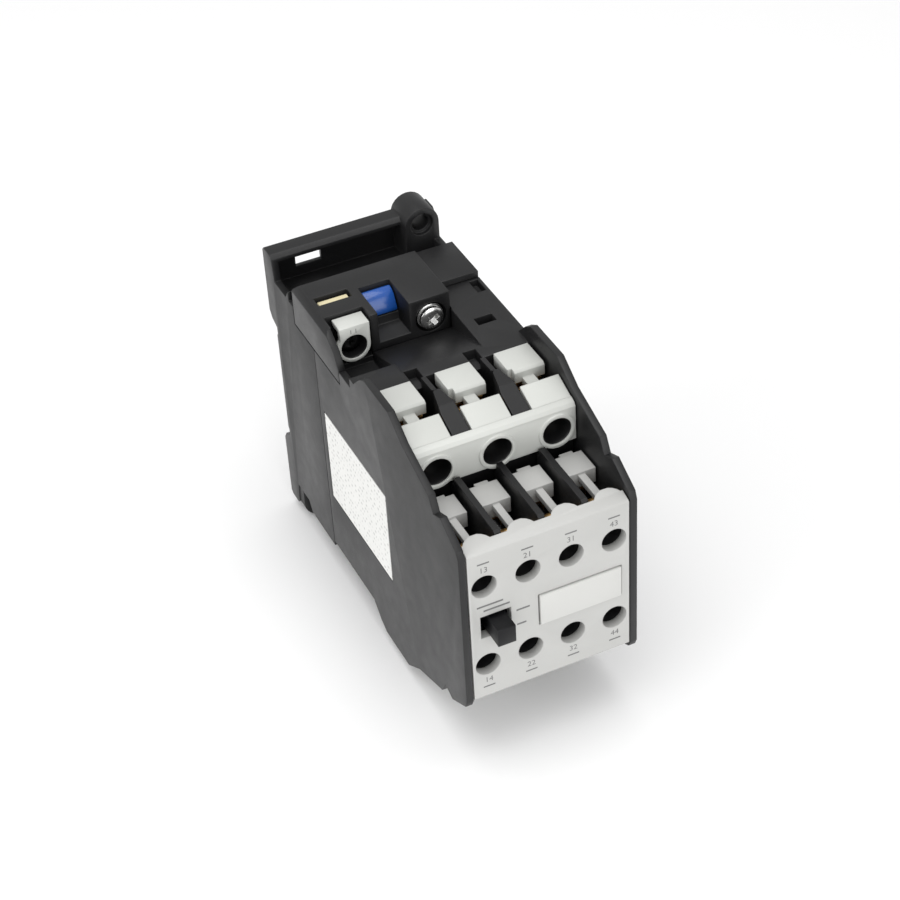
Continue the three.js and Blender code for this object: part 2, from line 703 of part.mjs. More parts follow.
function mainCover() {
  const half = INNER - GAP;
  const front = COVER_FRONT;
  const back = front + COVER_BLOCK_DEPTH;
  const slope = (COVER_BACK_TOP - COVER_FRONT_TOP) / COVER_BLOCK_DEPTH;
  const barTop = COVER_FRONT_TOP + slope * COVER_BAR + COVER_STEP;
  const bar = across(
    [
      [front, COVER_BOTTOM],
      [front, COVER_FRONT_TOP - 0.5],
      [front + 0.6, COVER_FRONT_TOP + 0.2 + COVER_STEP],
      [front + COVER_BAR, barTop],
      [front + COVER_BAR, COVER_BOTTOM],
    ],
    [-half, half],
  );
  const blockOutline = [
    [front + 1, COVER_BOTTOM],
    [front + 1, COVER_FRONT_TOP + slope],
    [back, COVER_BACK_TOP],
    [back, COVER_BOTTOM],
  ];
  const headFront = front + HEAD_SETBACK;
  const headOutline = [
    [headFront, HEAD_LEVEL[0]],
    [headFront, HEAD_LEVEL[1] - 0.6],
    [headFront + 0.6, HEAD_LEVEL[1]],
    [headFront + HEAD_DEPTH, HEAD_LEVEL[1]],
    [headFront + HEAD_DEPTH, HEAD_LEVEL[0]],
  ];
  const units = POLES.map((x) => {
    const block = across(blockOutline, span(x, COVER_BLOCK_HALF));
    const ring = rod(x, COVER_HOLE_LEVEL, COVER_RING, [front - COVER_RING_THICK, front + 0.4]);
    const stem = box(span(x, STEM_HALF), [back - 2.5, headFront + 1], STEM_LEVEL);
    const head = across(headOutline, span(x, HEAD_HALF));
    const notch = box([x - HEAD_HALF - 1, x - HEAD_HALF + 1.1], [headFront - 1, headFront + 1.6], [0, FAR]);
    return join([block, ring, stem, cut(head, [notch])]);
  });
  const holes = POLES.map((x) => rod(x, COVER_HOLE_LEVEL, COVER_HOLE, [front - 3, front + 3]));
  const hollows = POLES.map((x) => box(
    span(x, COVER_BLOCK_HALF - COVER_SHEET),
    [front + COVER_BAR, back + 1],
    [0, COVER_FRONT_TOP - COVER_ROOF],
  ));
  return cut(join([bar, ...units]), [...holes, ...hollows]);
}

// ---------------------------------------------------------------- contacts

function mainTerminal(x) {
  const depth = [MAIN_STRIP_DEPTH, MAIN_STRIP_DEPTH + STRIP];
  const [low, high] = MAIN_STRIP_LEVEL;
  const strip = box(span(x, MAIN_STRIP_HALF), depth, [low, high]);
  const pad = box(span(x, MAIN_BRIDGE_WIDTH / 2), [depth[0] - PAD, depth[0] + 0.1], [low, low + 4]);
  const hole = rod(x, COVER_HOLE_LEVEL, MAIN_SCREW.shank + SCREW_CLEARANCE, [depth[0] - 2, depth[1] + 2], 12);
  return cut(strip.add(pad), [hole]);
}

function auxTerminal(x, makes) {
  const depth = [AUX_STRIP_DEPTH, AUX_STRIP_DEPTH + STRIP];
  const [low, high] = AUX_STRIP_LEVEL;
  const strip = box(span(x, AUX_STRIP_HALF), depth, [low, high]);
  const padDepth = makes ? [depth[0] - PAD, depth[0] + 0.1] : [depth[1] - 0.1, depth[1] + PAD];
  const pad = box(span(x, AUX_BRIDGE_WIDTH / 2), padDepth, [low, low + 2]);
  const hole = rod(x, AUX_ROW, AUX_SCREW.shank + SCREW_CLEARANCE, [depth[0] - 2, depth[1] + 2], 12);
  return cut(strip.add(pad), [hole]);
}

// A bridge with a contact pad near each end; rear is the depth of the face that the pads stand on.
function bridge(x, rear, half, width, padSide) {
  const bar = box(span(x, width / 2), [rear - STRIP, rear], span(0, half));
  const padDepth = padSide > 0 ? [rear - 0.1, rear + PAD] : [rear - STRIP - PAD, rear - STRIP + 0.1];
  const low = half - 3;
  const pads = [
    box(span(x, width / 2), padDepth, [low, half]),
    box(span(x, width / 2), padDepth, [-half, -low]),
  ];
  return join([bar, ...pads]);
}


// Carrier: a plate with a window for each bridge, the indicator post and the armature's yoke.
const YOKE_FRONT = MAIN_BACK + 0.6;
const YOKE_BACK = YOKE_FRONT + 5.8;
const YOKE_HALF = 13;

function contactCarrier() {
  const plate = box(span(0, carrierHalf), [CARRIER_FRONT, YOKE_BACK], span(0, CARRIER_HALF_HEIGHT));
  const narrow = MAIN_BACK - 3;
  const trims = [-1, 1].map((side) => box(
    side > 0 ? [YOKE_HALF, FAR] : [-FAR, -YOKE_HALF],
    [narrow, FAR],
    span(0, FAR),
  ));
  const yoke = box(span(0, YOKE_HALF), [YOKE_FRONT, YOKE_BACK], span(0, STACK_HALF + 1));
  const arms = box(span(0, SPRING_RADIUS + 1), [YOKE_BACK - 2.6, YOKE_BACK], span(0, SPRING_LEVEL + 3.6));
  const post = box(
    span(POST_CENTRE[0], POST_SIZE[0] / 2),
    [-POST_REACH, CARRIER_FRONT + 1],
    span(POST_CENTRE[1], POST_SIZE[1] / 2),
  );
  const mainWindows = POLES.map((x) => box(
    span(x, MAIN_BRIDGE_WIDTH / 2 + GAP),
    [mainRear - STRIP - 5, mainRear + GAP],
    span(0, FAR),
  ));
  const auxWindows = AUX_PLACES.map((x, i) => box(
    span(x, AUX_BRIDGE_WIDTH / 2 + GAP),
    makesContact(i)
      ? [auxMakeRear - STRIP - 2.4, auxMakeRear + GAP]
      : [auxBreakRear - STRIP - GAP, auxBreakRear + 3.4],
    span(0, FAR),
  ));
  const padRoom = POLES.map((x) => box(
    span(x, MAIN_BRIDGE_WIDTH / 2 + GAP),
    [mainRear, mainRear + PAD + GAP],
    span(0, FAR),
  ));
  const slab = cut(plate, [...trims, ...mainWindows, ...auxWindows, ...padRoom]);
  return join([slab, yoke, arms, post]);
}

// The outer auxiliary contacts make when the coil pulls in, and the inner two break.
function makesContact(index) {
  return index === 0 || index === AUX_PLACES.length - 1;
}

// ---------------------------------------------------------------- magnet and coil

const magnetHalf = CAVITY_HALF - MAGNET_SIDE_GAP;
const ARMATURE_FRONT = YOKE_BACK + GAP;
const ARMATURE_FACE = ARMATURE_FRONT + YOKE + ARMATURE_LEG;
const CORE_FACE = ARMATURE_FACE + STROKE + POLE_GAP;
const CORE_BACK = DEPTH - CORE_FROM_BACK - GAP;

// An E-shaped stack: a yoke between two depths with three legs reaching to another depth.
function eStack(yoke, face) {
  const bar = box(span(0, magnetHalf), yoke, span(0, STACK_HALF));
  const reach = [Math.min(face, yoke[0]), Math.max(face, yoke[1])];
  const legs = [
    box([-magnetHalf, -magnetHalf + LEG], reach, span(0, STACK_HALF)),
    box(span(0, CENTRE_LEG_HALF), reach, span(0, STACK_HALF)),
    box([magnetHalf - LEG, magnetHalf], reach, span(0, STACK_HALF)),
  ];
  return join([bar, ...legs]);
}

function fixedCore() {
  const stack = eStack([CORE_BACK - YOKE, CORE_BACK], CORE_FACE);
  const slots = [-1, 1].map((side) => {
    const x = side * (magnetHalf - LEG / 2);
    return box(span(x, SHADING_SLOT / 2), [CORE_FACE - 1, CORE_FACE + SHADING_DEPTH], span(0, FAR));
  });
  return cut(stack, slots);
}

const BOBBIN_FRONT = CORE_FACE - 3.2;
const BOBBIN_BACK = CORE_BACK - YOKE - GAP;
const bobbinHole = [CENTRE_LEG_HALF + BOBBIN_FIT, STACK_HALF + BOBBIN_FIT];
const flangeHalf = magnetHalf - LEG - BOBBIN_FIT;

function coilBobbin() {
  const depth = [BOBBIN_FRONT, BOBBIN_BACK];
  const barrel = box(span(0, bobbinHole[0] + BOBBIN_WALL), depth, span(0, bobbinHole[1] + BOBBIN_WALL));
  const flanges = [
    box(span(0, flangeHalf), [depth[0], depth[0] + FLANGE], span(0, FLANGE_HALF_HEIGHT)),
    box(span(0, flangeHalf), [depth[1] - FLANGE, depth[1]], span(0, FLANGE_HALF_HEIGHT)),
  ];
  const hole = box(span(0, bobbinHole[0]), [depth[0] - 1, depth[1] + 1], span(0, bobbinHole[1]));
  return cut(join([barrel, ...flanges]), [hole]);
}

function roundedBlock(halfWidth, halfHeight, radius, depth) {
  const shape = new THREE.Shape();
  shape.moveTo(-halfWidth + radius, -halfHeight);
  shape.lineTo(halfWidth - radius, -halfHeight);
  shape.absarc(halfWidth - radius, -halfHeight + radius, radius, -Math.PI / 2, 0);
  shape.lineTo(halfWidth, halfHeight - radius);
  shape.absarc(halfWidth - radius, halfHeight - radius, radius, 0, Math.PI / 2);
  shape.lineTo(-halfWidth + radius, halfHeight);
  shape.absarc(-halfWidth + radius, halfHeight - radius, radius, Math.PI / 2, Math.PI);
  shape.lineTo(-halfWidth, -halfHeight + radius);
  shape.absarc(-halfWidth + radius, -halfHeight + radius, radius, Math.PI, 1.5 * Math.PI);
  const settings = { depth: depth[1] - depth[0], bevelEnabled: false, curveSegments: 5 };
  const geometry = new THREE.ExtrudeGeometry(shape, settings);
  geometry.rotateX(Math.PI / 2);
  geometry.translate(0, at(depth[1]), 0);
  return toSolid(geometry);
}

function coilWinding() {
  const depth = [BOBBIN_FRONT + FLANGE + GAP, BOBBIN_BACK - FLANGE - GAP];
  const barrelX = bobbinHole[0] + BOBBIN_WALL + GAP;
  const barrelZ = bobbinHole[1] + BOBBIN_WALL + GAP;
  const body = roundedBlock(flangeHalf - GAP, FLANGE_HALF_HEIGHT - 1, 2, depth);
  return cut(body, [box(span(0, barrelX), [depth[0] - 1, depth[1] + 1], span(0, barrelZ))]);
}

// ---------------------------------------------------------------- coil terminal block

function coilTerminalBlock() {
  const [low, high] = BLOCK_LEVEL;
  const right = fromLeft(BLOCK_WIDTH);
  const body = across(
    [
      [BLOCK_FRONT, low],
      [BLOCK_FRONT, high],
      [BLOCK_BACK - 1, high],
      [BLOCK_BACK, high - 1],
      [BLOCK_BACK, low],
    ],
    [-HALF, right],
  );
  const cheekFront = BLOCK_FRONT - CHEEK_REACH;
  const cheek = across(
    [
      [cheekFront, low],
      [cheekFront, LEFT_WALL_TOP + 0.3],
      [cheekFront + 2.2, LEFT_WALL_TOP + 4.1],
      [BLOCK_FRONT + 1, high],
      [BLOCK_FRONT + 1, low],
    ],
    [-HALF, -INNER],
  );
  const edge = new THREE.BoxGeometry(3, FAR, 3);
  edge.rotateY(Math.PI / 4);
  edge.translate(-HALF, at(BLOCK_FRONT), high + 0.7);
  const a1X = fromLeft(A1_CENTRE);
  const a2X = fromLeft(A2_CENTRE);
  const plugX = fromLeft(PLUG_CENTRE);
  const plugBack = BLOCK_FRONT + 12 - GAP;
  const markerX = fromLeft(MARKER_CENTRE);
  return cut(body.add(cheek), [
    toSolid(edge),
    box(
      [-INNER, a1X + A1_WIDTH / 2 + 2 * GAP],
      [0, BLOCK_FRONT + A1_CAP_DEPTH - 1 + 2 * GAP],
      [0, FAR],
    ),
    rod(a1X, A1_LEVEL, COIL_SCREW.shank + SCREW_CLEARANCE, [BLOCK_FRONT, BLOCK_FRONT + 12], 12),
    box(span(plugX, PLUG_WIDTH / 2 + GAP), [0, plugBack - PLUG_DEPTH], ABOVE(low + SLOT_FLOOR)),
    box(span(plugX, PLUG_WIDTH / 2 + GAP), [0, plugBack + GAP], ABOVE(low + PLUG_FLOOR)),
    box(
      span(markerX, MARKER_SIZE[0] / 2 + 0.5),
      [MARKER_DEPTH - MARKER_SIZE[1] / 2 - GAP, MARKER_DEPTH + MARKER_SIZE[1] / 2 + 1],
      ABOVE(high - 3.4),
    ),
    rod(a2X, A2_LEVEL, COIL_SCREW.head + 0.6, [BLOCK_FRONT - 1, BLOCK_FRONT + 2.6]),
    rod(a2X, A2_LEVEL, COIL_SCREW.shank + SCREW_CLEARANCE, [BLOCK_FRONT, BLOCK_FRONT + 12], 12),
  ]);
}

function coilCap() {
  const shape = new THREE.Shape();
  const x = fromLeft(A1_CENTRE);
  const half = A1_WIDTH / 2;
  const top = BLOCK_LEVEL[1] - 0.8;
  shape.moveTo(x - half + A1_STEP, top);
  shape.lineTo(x - half + A1_STEP, A1_LEVEL + 2.6);
  shape.lineTo(x - half, A1_LEVEL + 1.4);
  shape.lineTo(x - half, A1_LEVEL);
  shape.absarc(x, A1_LEVEL, half, Math.PI, 2 * Math.PI);
  shape.lineTo(x + half, top);
  const front = BLOCK_FRONT - 1;
  const face = backward(shape, [front, front + 1.6]);
  const lid = box([x - half + A1_STEP, x + half], [front, front + A1_CAP_DEPTH], [top - 1.6, top]);
  return cut(face.add(lid), [rod(x, A1_LEVEL, A1_HOLE, [front - 1, front + 2])]);
}

function suppressorPlug() {
  const low = BLOCK_LEVEL[0] + PLUG_FLOOR + GAP;
  const high = BLOCK_LEVEL[1] - 0.8;
  const back = BLOCK_FRONT + 12 - GAP;
  const front = back - PLUG_DEPTH;
  return across(
    [
      [front, low],
      [front, low + 1],
      [back - 3.4, high - 1.2],
      [back - 2.2, high - 0.3],
      [back - 1.2, high],
      [back - 0.3, high - 0.4],
      [back, high - 1.2],
      [back, low],
    ],
    span(fromLeft(PLUG_CENTRE), PLUG_WIDTH / 2),
  );
}

function coilMarker() {
  return box(
    span(fromLeft(MARKER_CENTRE), MARKER_SIZE[0] / 2),
    span(MARKER_DEPTH, MARKER_SIZE[1] / 2),
    [BLOCK_LEVEL[1] - 3.1, BLOCK_LEVEL[1] - 0.7],
  );
}

// ---------------------------------------------------------------- screws

// A cheese-head screw standing on its own axis, head towards the front.
function addScrew(name, size, x, z) {
  const profile = [
    [0, 0],
    [size.head - 0.4, 0],
    [size.head, 0.4],
    [size.head, size.rise],
    [size.shank, size.rise],
    [size.shank, size.rise + size.length],
    [0, size.rise + size.length],
  ];
  const points = profile.map(([radius, along]) => new THREE.Vector2(radius, along));
  const mesh = new THREE.Mesh(new THREE.LatheGeometry(points, 18), nickel());
  mesh.name = name;
  mesh.position.set(x, at(size.depth), z);
  contactor.add(mesh);
}

// ---------------------------------------------------------------- assembly

addSolid('base_housing', baseHousing(), blackPlastic);
addSolid('contact_housing', contactHousing(), blackPlastic);
addSolid('aux_contact_block', auxContactBlock(), blackPlastic);
addSolid('main_contact_block', mainContactBlock(), blackPlastic);
addSolid('coil_terminal_block', coilTerminalBlock(), blackPlastic);
addSolid('front_plate', frontPlate(), greyPlastic);
addSolid('inscription_plate', inscriptionPlate(), paper);
addSolid('main_cover_top', mainCover(), whitePlastic);
addSolid('main_cover_bottom', below(mainCover()), whitePlastic);
addSolid('coil_cap_a1', coilCap(), whitePlastic);
addSolid('suppressor_plug', suppressorPlug(), bluePlastic);
addSolid('coil_marker_strip', coilMarker(), creamPlastic);
addSolid('side_label', box(
  [-HALF, -HALF + SIDE_LABEL.thick],
  [SIDE_LABEL.front, SIDE_LABEL.back],
  [SIDE_LABEL.low, SIDE_LABEL.high],
), paper);

addSolid('coil_bobbin', coilBobbin(), creamPlastic);
addSolid('coil_winding', coilWinding(), copper);
addSolid('fixed_core', fixedCore(), steel);
addSolid('armature', eStack([ARMATURE_FRONT, ARMATURE_FRONT + YOKE], ARMATURE_FACE), steel);
addSolid('contact_carrier', contactCarrier(), blackPlastic);

POLES.forEach((x, i) => {
  const pole = i + 1;
  addSolid(`main_bridge_${pole}`, bridge(x, mainRear, MAIN_BRIDGE_HALF, MAIN_BRIDGE_WIDTH, 1), silver);
  addSolid(`main_terminal_top_${pole}`, mainTerminal(x), brass);
  addSolid(`main_terminal_bottom_${pole}`, below(mainTerminal(-x)), brass);
  addScrew(`main_screw_top_${pole}`, MAIN_SCREW, x, COVER_HOLE_LEVEL);
  addScrew(`main_screw_bottom_${pole}`, MAIN_SCREW, x, -COVER_HOLE_LEVEL);
});

AUX_PLACES.forEach((x, i) => {
  const place = i + 1;
  const makes = makesContact(i);
  const rear = makes ? auxMakeRear : auxBreakRear;
  addSolid(`aux_bridge_${place}`, bridge(x, rear, AUX_BRIDGE_HALF, AUX_BRIDGE_WIDTH, makes ? 1 : -1), silver);
  addSolid(`aux_terminal_top_${place}`, auxTerminal(x, makes), brass);
  addSolid(`aux_terminal_bottom_${place}`, below(auxTerminal(-x, makes)), brass);
  addScrew(`aux_screw_top_${place}`, AUX_SCREW, x, AUX_ROW);
  addScrew(`aux_screw_bottom_${place}`, AUX_SCREW, x, -AUX_ROW);
});

const A1_SCREW = { ...COIL_SCREW, head: A1_HOLE, depth: BLOCK_FRONT + 2 };
addScrew('coil_screw_a1', A1_SCREW, fromLeft(A1_CENTRE), A1_LEVEL);
addScrew('coil_screw_a2', COIL_SCREW, fromLeft(A2_CENTRE), A2_LEVEL);

// Two return springs push the carriage forward, off the coil bobbin.
[['return_spring_top', SPRING_LEVEL], ['return_spring_bottom', -SPRING_LEVEL]].forEach(([name, z]) => {
  const length = BOBBIN_FRONT - YOKE_BACK - 2 * GAP;
  const mesh = new THREE.Mesh(helix(SPRING_RADIUS, SPRING_WIRE, length, SPRING_TURNS), steel());
  mesh.name = name;
  mesh.rotation.x = -Math.PI / 2;
  mesh.position.set(0, at(YOKE_BACK + GAP), z);
  contactor.add(mesh);
});

addSolid('rail_latch', railLatch(), blackPlastic);
const latchSpringTop = -RAIL_WIDTH / 2 - LATCH_WINDOW_TOP - GAP;
const latchCoil = helix(LATCH_SPRING_RADIUS, LATCH_SPRING_WIRE, LATCH_SPRING_LENGTH, LATCH_SPRING_TURNS);
const latchSpring = new THREE.Mesh(latchCoil, steel());
latchSpring.name = 'latch_spring';
latchSpring.position.set(
  0,
  at(DEPTH - RAIL_RECESS + GAP + LATCH_THICK / 2),
  latchSpringTop - LATCH_SPRING_LENGTH,
);
contactor.add(latchSpring);

export default contactor;
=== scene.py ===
import json
import math

import bmesh
import bpy
from mathutils import Matrix, Vector


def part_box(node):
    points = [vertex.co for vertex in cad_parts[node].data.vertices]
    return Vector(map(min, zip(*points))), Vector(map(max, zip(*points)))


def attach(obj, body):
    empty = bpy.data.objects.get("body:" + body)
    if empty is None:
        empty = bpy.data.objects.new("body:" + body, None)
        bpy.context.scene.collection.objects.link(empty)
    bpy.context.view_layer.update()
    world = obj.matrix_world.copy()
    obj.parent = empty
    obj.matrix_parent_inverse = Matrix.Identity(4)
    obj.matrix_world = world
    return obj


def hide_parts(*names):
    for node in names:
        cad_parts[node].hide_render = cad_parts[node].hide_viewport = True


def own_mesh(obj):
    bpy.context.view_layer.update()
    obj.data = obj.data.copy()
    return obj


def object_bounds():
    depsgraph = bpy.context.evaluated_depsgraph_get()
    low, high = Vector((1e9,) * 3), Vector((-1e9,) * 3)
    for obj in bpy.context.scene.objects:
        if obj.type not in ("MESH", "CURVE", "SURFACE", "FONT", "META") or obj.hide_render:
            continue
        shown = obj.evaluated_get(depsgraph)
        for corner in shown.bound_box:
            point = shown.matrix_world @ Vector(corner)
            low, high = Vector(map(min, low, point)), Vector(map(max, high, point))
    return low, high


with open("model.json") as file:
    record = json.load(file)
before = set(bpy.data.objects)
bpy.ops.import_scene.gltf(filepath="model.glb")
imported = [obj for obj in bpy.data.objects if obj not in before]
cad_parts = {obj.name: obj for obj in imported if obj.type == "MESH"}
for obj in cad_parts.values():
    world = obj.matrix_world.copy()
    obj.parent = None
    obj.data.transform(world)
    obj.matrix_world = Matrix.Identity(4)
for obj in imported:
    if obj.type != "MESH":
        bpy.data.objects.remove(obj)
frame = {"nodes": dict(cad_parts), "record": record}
cad_low, cad_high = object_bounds()
MM = 0.001

# ------------------------------------------------------------------ camera, floor and light

AIM = Vector((-8.8, -75.7, 25.3)) * MM
DISTANCE = 520 * MM
AZIMUTH = -23.06
ELEVATION = 38.9
ROLL = -3.7
LENS = 90
SENSOR_WIDTH = 36
NEAREST = 10 * MM
FLOOR_DROP = 0.2 * MM
SKY_STRENGTH = 0.66


def stand_camera():
    """A long lens, looking down on the front and the left side."""
    azimuth, elevation = math.radians(AZIMUTH), math.radians(ELEVATION)
    look = Vector((
        -math.sin(azimuth) * math.cos(elevation),
        math.cos(azimuth) * math.cos(elevation),
        -math.sin(elevation),
    ))
    data = bpy.data.cameras.new("view_camera")
    data.lens = LENS
    data.sensor_width = SENSOR_WIDTH
    data.clip_start = NEAREST
    camera = bpy.data.objects.new("view_camera", data)
    bpy.context.scene.collection.objects.link(camera)
    turn = look.to_track_quat("-Z", "Y").to_matrix().to_4x4()
    roll = Matrix.Rotation(math.radians(ROLL), 4, "Z")
    camera.matrix_world = Matrix.Translation(AIM - look * DISTANCE) @ turn @ roll
    bpy.context.scene.camera = camera


def lay_floor():
    """One pale sheet, from in front of the object to far behind it."""
    mesh = bmesh.new()
    bmesh.ops.create_grid(mesh, x_segments=8, y_segments=8, size=4)
    floor = add_piece("studio_floor", mesh, floor_finish())
    floor.location.z = cad_low.z - FLOOR_DROP


def hang_light(name, place, target, side, power):
    """A square soft box of that side, in metres, turned to its target."""
    data = bpy.data.lights.new(name, "AREA")
    data.shape = "RECTANGLE"
    data.size, data.size_y = side, side
    data.energy = power
    lamp = bpy.data.objects.new(name, data)
    bpy.context.scene.collection.objects.link(lamp)
    direction = Vector(target) - Vector(place)
    lamp.matrix_world = Matrix.Translation(place) @ direction.to_track_quat("-Z", "Y").to_matrix().to_4x4()


def light_studio():
    """White surroundings, with three soft boxes: in front, overhead and on the left."""
    world = bpy.data.worlds.new("studio")
    world.use_nodes = True
    world.node_tree.nodes["Background"].inputs["Color"].default_value = (1, 1, 1, 1)
    world.node_tree.nodes["Background"].inputs["Strength"].default_value = SKY_STRENGTH
    bpy.context.scene.world = world
    hang_light("soft_front", (0.1, -0.9, 0.35), (0, -0.06, 0), 0.7, 2.6)
    hang_light("soft_top", (-0.1, -0.1, 0.9), (0, -0.05, 0), 0.8, 4.2)
    hang_light("soft_left", (-0.9, -0.2, 0.3), (0, -0.05, 0), 0.6, 3.2)
    bpy.context.scene.view_settings.view_transform = "Standard"


# ------------------------------------------------------------------ node helpers


class Nodes:
    """Adds nodes to one tree, and links them by socket name."""

    def __init__(self, tree):
        self.tree = tree
        self.column = 0

    def feed(self, socket, value):
        """Links a socket to another node's output, or sets its own value."""
        if isinstance(value, bpy.types.NodeSocket):
            self.tree.links.new(value, socket)
        else:
            socket.default_value = value

    def add(self, kind, values=None, **settings):
        node = self.tree.nodes.new(kind)
        node.location = (self.column, 0)
        self.column += 180
        for key, value in settings.items():
            setattr(node, key, value)
        for key, value in (values or {}).items():
            self.feed(node.inputs[key], value)
        return node

    def math(self, operation, first, second=0.0, clamp=False):
        node = self.add("ShaderNodeMath", operation=operation, use_clamp=clamp)
        self.feed(node.inputs[0], first)
        self.feed(node.inputs[1], second)
        return node.outputs[0]

    def mix(self, factor, first, second, blend="MIX"):
        node = self.add("ShaderNodeMix", data_type="RGBA", blend_type=blend)
        for socket, value in ((node.inputs[0], factor), (node.inputs[6], first), (node.inputs[7], second)):
            self.feed(socket, value)
        return node.outputs[2]

    def ramp(self, value, low, high):
        node = self.add("ShaderNodeMapRange", {"Value": value, "From Min": low, "From Max": high})
        node.interpolation_type = "SMOOTHSTEP"
        return node.outputs[0]


def new_group(name, inputs, outputs):
    """An empty node group with named sockets, given as name: (kind, default)."""
    tree = bpy.data.node_groups.new(name, "ShaderNodeTree")
    for socket_name, (kind, default) in inputs.items():
        socket = tree.interface.new_socket(socket_name, in_out="INPUT", socket_type=kind)
        socket.default_value = default
    for socket_name, kind in outputs.items():
        tree.interface.new_socket(socket_name, in_out="OUTPUT", socket_type=kind)
    made = Nodes(tree)
    return made, made.add("NodeGroupInput").outputs, made.add("NodeGroupOutput")


NUMBER, COLOUR, VECTOR = "NodeSocketFloat", "NodeSocketColor", "NodeSocketVector"


def build_edge_wear():
    """Where the edges are, and how far each is rubbed."""
    n, given, out = new_group(
        "EdgeWear",
        {"Radius": (NUMBER, 0.0004), "Amount": (NUMBER, 0.5), "Patch Scale": (NUMBER, 300.0)},
        {"Mask": NUMBER, "Rounded": VECTOR},
    )
    bevel = n.add("ShaderNodeBevel", {"Radius": given["Radius"]}, samples=6)
    geometry = n.add("ShaderNodeNewGeometry")
    normals = {0: bevel.outputs[0], 1: geometry.outputs["Normal"]}
    facing = n.add("ShaderNodeVectorMath", normals, operation="DOT_PRODUCT")
    turned = n.ramp(n.math("SUBTRACT", 1.0, facing.outputs["Value"]), 0.01, 0.14)
    place = n.add("ShaderNodeTexCoord").outputs["Object"]
    patches = n.add("ShaderNodeTexNoise", {"Vector": place, "Scale": given["Patch Scale"], "Detail": 3.0})
    rubbed = n.ramp(patches.outputs[0], 0.35, 0.7)
    mask = n.math("MULTIPLY", n.math("MULTIPLY", turned, rubbed), given["Amount"], clamp=True)
    n.tree.links.new(mask, out.inputs["Mask"])
    n.tree.links.new(bevel.outputs[0], out.inputs["Rounded"])
    return n.tree


def build_moulded_grain():
    """Fine spark-eroded grain of a moulding, with slow changes of tone and of shine."""
    n, given, out = new_group(
        "MouldedGrain",
        {
            "Colour": (COLOUR, (0.5, 0.5, 0.5, 1)),
            "Roughness": (NUMBER, 0.5),
            "Grain Scale": (NUMBER, 5000.0),
            "Grain Depth": (NUMBER, 0.00002),
            "Tone Change": (NUMBER, 0.15),
            "Rounded": (VECTOR, (0, 0, 1)),
        },
        {"Colour": COLOUR, "Roughness": NUMBER, "Normal": VECTOR},
    )
    place = n.add("ShaderNodeTexCoord").outputs["Object"]
    grain = n.add("ShaderNodeTexNoise", {"Vector": place, "Scale": given["Grain Scale"], "Detail": 3.0})
    slow = n.add("ShaderNodeTexNoise", {"Vector": place, "Scale": 55.0, "Detail": 4.0})
    smudge = n.add("ShaderNodeTexNoise", {"Vector": place, "Scale": 240.0, "Detail": 5.0})
    tone = n.math("MULTIPLY", n.math("SUBTRACT", slow.outputs[0], 0.5), given["Tone Change"])
    fleck_depth = n.math("MULTIPLY", given["Tone Change"], 0.6)
    fleck = n.math("MULTIPLY", n.math("SUBTRACT", grain.outputs[0], 0.5), fleck_depth)
    level = n.math("ADD", 1.0, n.math("ADD", n.math("MULTIPLY", tone, 2.0), fleck))
    shade = n.add("ShaderNodeCombineColor", {0: level, 1: level, 2: level})
    colour = n.mix(1.0, given["Colour"], shade.outputs[0], "MULTIPLY")
    shine = n.math("MULTIPLY", n.math("SUBTRACT", smudge.outputs[0], 0.5), 0.17)
    rough = n.math("ADD", given["Roughness"], shine, clamp=True)
    bump = n.add("ShaderNodeBump", {
        "Height": grain.outputs[0],
        "Distance": given["Grain Depth"],
        "Normal": given["Rounded"],
    })
    n.tree.links.new(colour, out.inputs["Colour"])
    n.tree.links.new(rough, out.inputs["Roughness"])
    n.tree.links.new(bump.outputs[0], out.inputs["Normal"])
    return n.tree


def build_metal_grain():
    """Drawn or rolled metal: fine lines one way, with tarnish in patches."""
    n, given, out = new_group(
        "MetalGrain",
        {
            "Colour": (COLOUR, (0.5, 0.5, 0.5, 1)),
            "Tarnish": (COLOUR, (0.2, 0.2, 0.2, 1)),
            "Tarnish Amount": (NUMBER, 0.4),
            "Roughness": (NUMBER, 0.3),
            "Line Scale": (NUMBER, 2500.0),
            "Line Depth": (NUMBER, 0.00001),
            "Stretch": (VECTOR, (0.08, 1.0, 1.0)),
            "Rounded": (VECTOR, (0, 0, 1)),
        },
        {"Colour": COLOUR, "Roughness": NUMBER, "Normal": VECTOR},
    )
    place = n.add("ShaderNodeTexCoord").outputs["Object"]
    stretched = n.add("ShaderNodeVectorMath", {0: place, 1: given["Stretch"]}, operation="MULTIPLY")
    lines = n.add("ShaderNodeTexNoise", {
        "Vector": stretched.outputs[0],
        "Scale": given["Line Scale"],
        "Detail": 2.0,
    })
    patches = n.add("ShaderNodeTexNoise", {"Vector": place, "Scale": 420.0, "Detail": 5.0})
    stain = n.math("MULTIPLY", n.ramp(patches.outputs[0], 0.42, 0.72), given["Tarnish Amount"])
    colour = n.mix(stain, given["Colour"], given["Tarnish"])
    dulled = n.math("ADD", n.math("MULTIPLY", stain, 0.25), n.math("MULTIPLY", lines.outputs[0], 0.08))
    rough = n.math("ADD", given["Roughness"], dulled, clamp=True)
    bump = n.add("ShaderNodeBump", {
        "Height": lines.outputs[0],
        "Distance": given["Line Depth"],
        "Normal": given["Rounded"],
    })
    n.tree.links.new(colour, out.inputs["Colour"])
    n.tree.links.new(rough, out.inputs["Roughness"])
    n.tree.links.new(bump.outputs[0], out.inputs["Normal"])
    return n.tree


EDGE_WEAR = build_edge_wear()
MOULDED_GRAIN = build_moulded_grain()
METAL_GRAIN = build_metal_grain()


